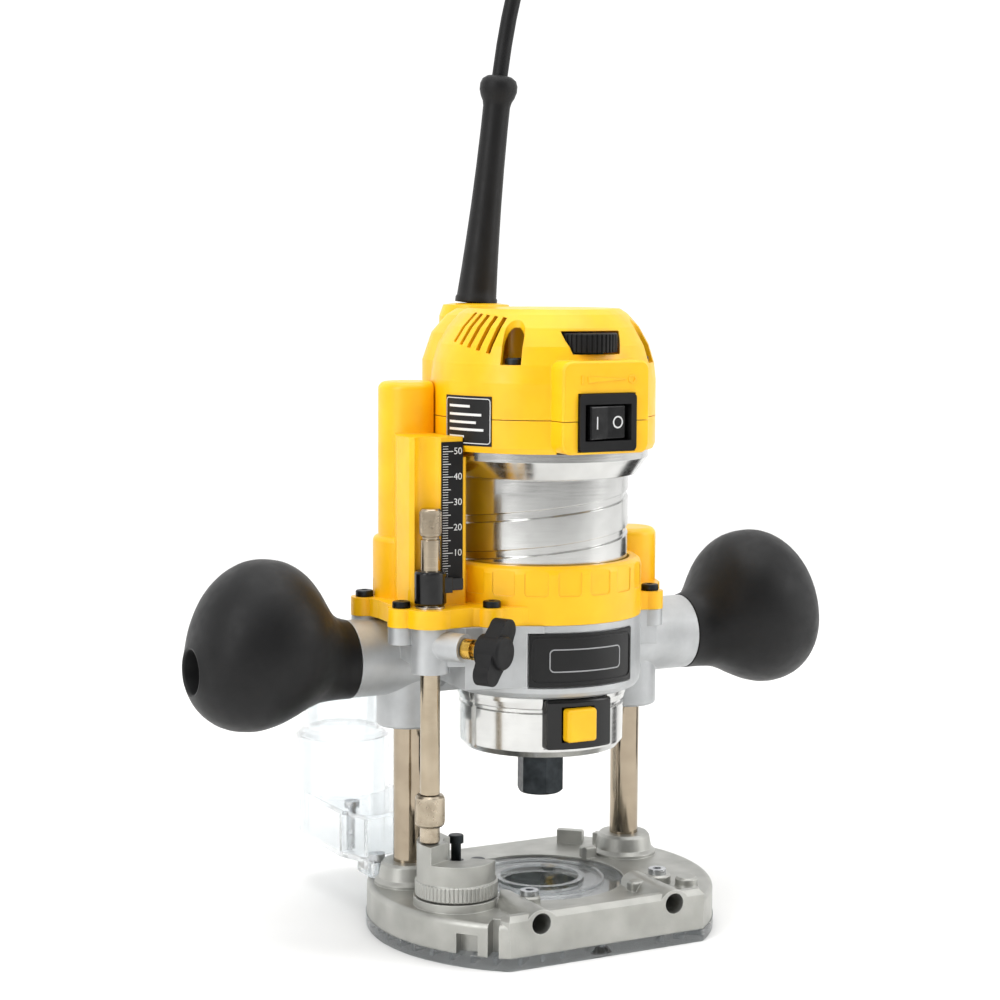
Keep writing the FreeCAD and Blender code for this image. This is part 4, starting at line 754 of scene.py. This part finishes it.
# ---------------------------------------------------------------- mains plug
# Two-pin plug moulded on the cord, of the same rubber, with finger ribs and plated brass pins.
PLUG_X, PLUG_Y, PLUG_Z = 387.8, 14.0, 30.05
PLUG_PROFILE = ((-22.0, 5.4, 5.4), (-21.0, 6.2, 6.0), (-13.0, 7.6, 7.0), (-7.0, 10.5, 8.0), (0.0, 13.4, 8.8),
                (3.0, 14.6, 9.0), (4.0, 15.2, 9.3), (5.0, 14.6, 9.0), (7.0, 14.9, 9.1), (8.0, 15.6, 9.4),
                (9.0, 14.9, 9.1), (11.0, 15.3, 9.3), (12.0, 16.0, 9.7), (13.0, 15.4, 9.4), (17.0, 16.2, 9.8),
                (20.5, 16.3, 9.8), (21.8, 15.2, 8.9), (22.0, 14.0, 7.8))


def plug_ring(y, wide, high):
    ring = []
    for n in range(40):
        a = 2 * math.pi * n / 40
        c, s = math.cos(a), math.sin(a)
        ring.append((PLUG_X + wide * math.copysign(abs(c) ** 0.62, c), PLUG_Y + y,
                     PLUG_Z + high * math.copysign(abs(s) ** 0.62, s)))
    return ring


plug = fit(skin("moulded_plug", [plug_ring(*spot) for spot in PLUG_PROFILE], angle=60.0), cord_rubber,
           "base",
           "plug_black", "mains_plug")


def pin_rows(x):
    return [[(PLUG_X + x + r * math.cos(a), PLUG_Y + y, PLUG_Z + r * math.sin(a))
             for a in (2 * math.pi * n / 24 for n in range(24))]
            for y, r in ((21.0, 2.35), (40.2, 2.35), (41.3, 1.9), (41.8, 0.8))]


pins = [fit(skin("plug_pin_%s" % side, pin_rows(x), angle=50.0), zinc_plate, "base", "plug_black")
        for side, x in (("left", -9.5), ("right", 9.5))]


# ---------------------------------------------------------------- floor, lights and camera
# Round pale floor, large soft lights, air that is white beyond the tool and darker behind the viewer,
# and a long lens a little above the motor.
def round_floor():
    rim = [(1.5 * math.cos(a), 1.5 * math.sin(a), 0.0) for a in (math.radians(5.0 * n) for n in range(72))]
    mesh = bpy.data.meshes.new("studio_floor")
    mesh.from_pydata(rim, [], [tuple(range(72))])
    floor = bpy.data.objects.new("studio_floor", mesh)
    bpy.context.scene.collection.objects.link(floor)
    return floor


floor = round_floor()
paper, paper_shader = raw_material("white_paper", {"Roughness": 0.9, "Specular IOR Level": 0.2})
paper_place = add_node(paper, "ShaderNodeTexCoord", {}, {})
mottled(paper, paper_shader, paper_place, "#F4F4F3", "#F8F8F7", 300.0)
floor.data.materials.append(paper)


def softbox(name, spot, aim, width, height, watts):
    light = bpy.data.lights.new(name, "AREA")
    light.shape = "RECTANGLE"
    light.size, light.size_y = width, height
    light.energy = watts
    lamp = bpy.data.objects.new(name, light)
    bpy.context.scene.collection.objects.link(lamp)
    lamp.location = spot
    lamp.rotation_euler = (Vector(aim) - Vector(spot)).to_track_quat("-Z", "Y").to_euler()
    return lamp


softbox("top_softbox", (0.0, -0.1, 1.7), (0.0, 0.0, 0.1), 1.6, 1.6, 16.0)
softbox("left_softbox", (-1.5, -0.5, 0.9), (0.0, 0.0, 0.12), 0.6, 1.5, 14.0)
softbox("right_softbox", (1.3, -1.0, 0.8), (0.0, 0.0, 0.12), 0.5, 1.3, 9.0)
world = bpy.data.worlds.new("studio_air")
world.use_nodes = True
backdrop = world.node_tree.nodes["Background"]
backdrop.inputs["Color"].default_value = (1.0, 1.0, 1.0, 1.0)
heading = add_node(world, "ShaderNodeTexCoord", {}, {})
away = add_node(world, "ShaderNodeVectorMath", {"operation": "DOT_PRODUCT", 1: (0.489, 0.872, 0.3)},
                {0: (heading, "Generated")})
glow = add_node(world, "ShaderNodeMapRange",
                {"From Min": -0.75, "From Max": 0.45, "To Min": 0.3, "To Max": 1.1},
                {"Value": (away, "Value")})
world.node_tree.links.new(glow.outputs[0], backdrop.inputs["Strength"])
bpy.context.scene.world = world
bpy.context.scene.view_settings.view_transform = "Standard"

CAMERA_TURN, CAMERA_REACH, CAMERA_HEIGHT = math.radians(29.27), 0.900, 0.2675
CAMERA_DOWN, CAMERA_SIDE, CAMERA_ROLL = math.radians(6.0), math.radians(-1.08), math.radians(0.31)
lens = bpy.data.cameras.new("camera")
lens.sensor_width = 36.0
lens.lens = 2249.0 * 36.0 / 1000.0
lens.clip_end = 50.0
camera = bpy.data.objects.new("camera", lens)
bpy.context.scene.collection.objects.link(camera)
camera.location = (-CAMERA_REACH * math.sin(CAMERA_TURN), -CAMERA_REACH * math.cos(CAMERA_TURN),
                   CAMERA_HEIGHT)
camera.rotation_euler = (Matrix.Rotation(-(CAMERA_TURN + CAMERA_SIDE), 4, "Z")
                         @ Matrix.Rotation(math.pi / 2 - CAMERA_DOWN, 4, "X")
                         @ Matrix.Rotation(CAMERA_ROLL, 4, "Z")).to_euler()
bpy.context.scene.camera = camera
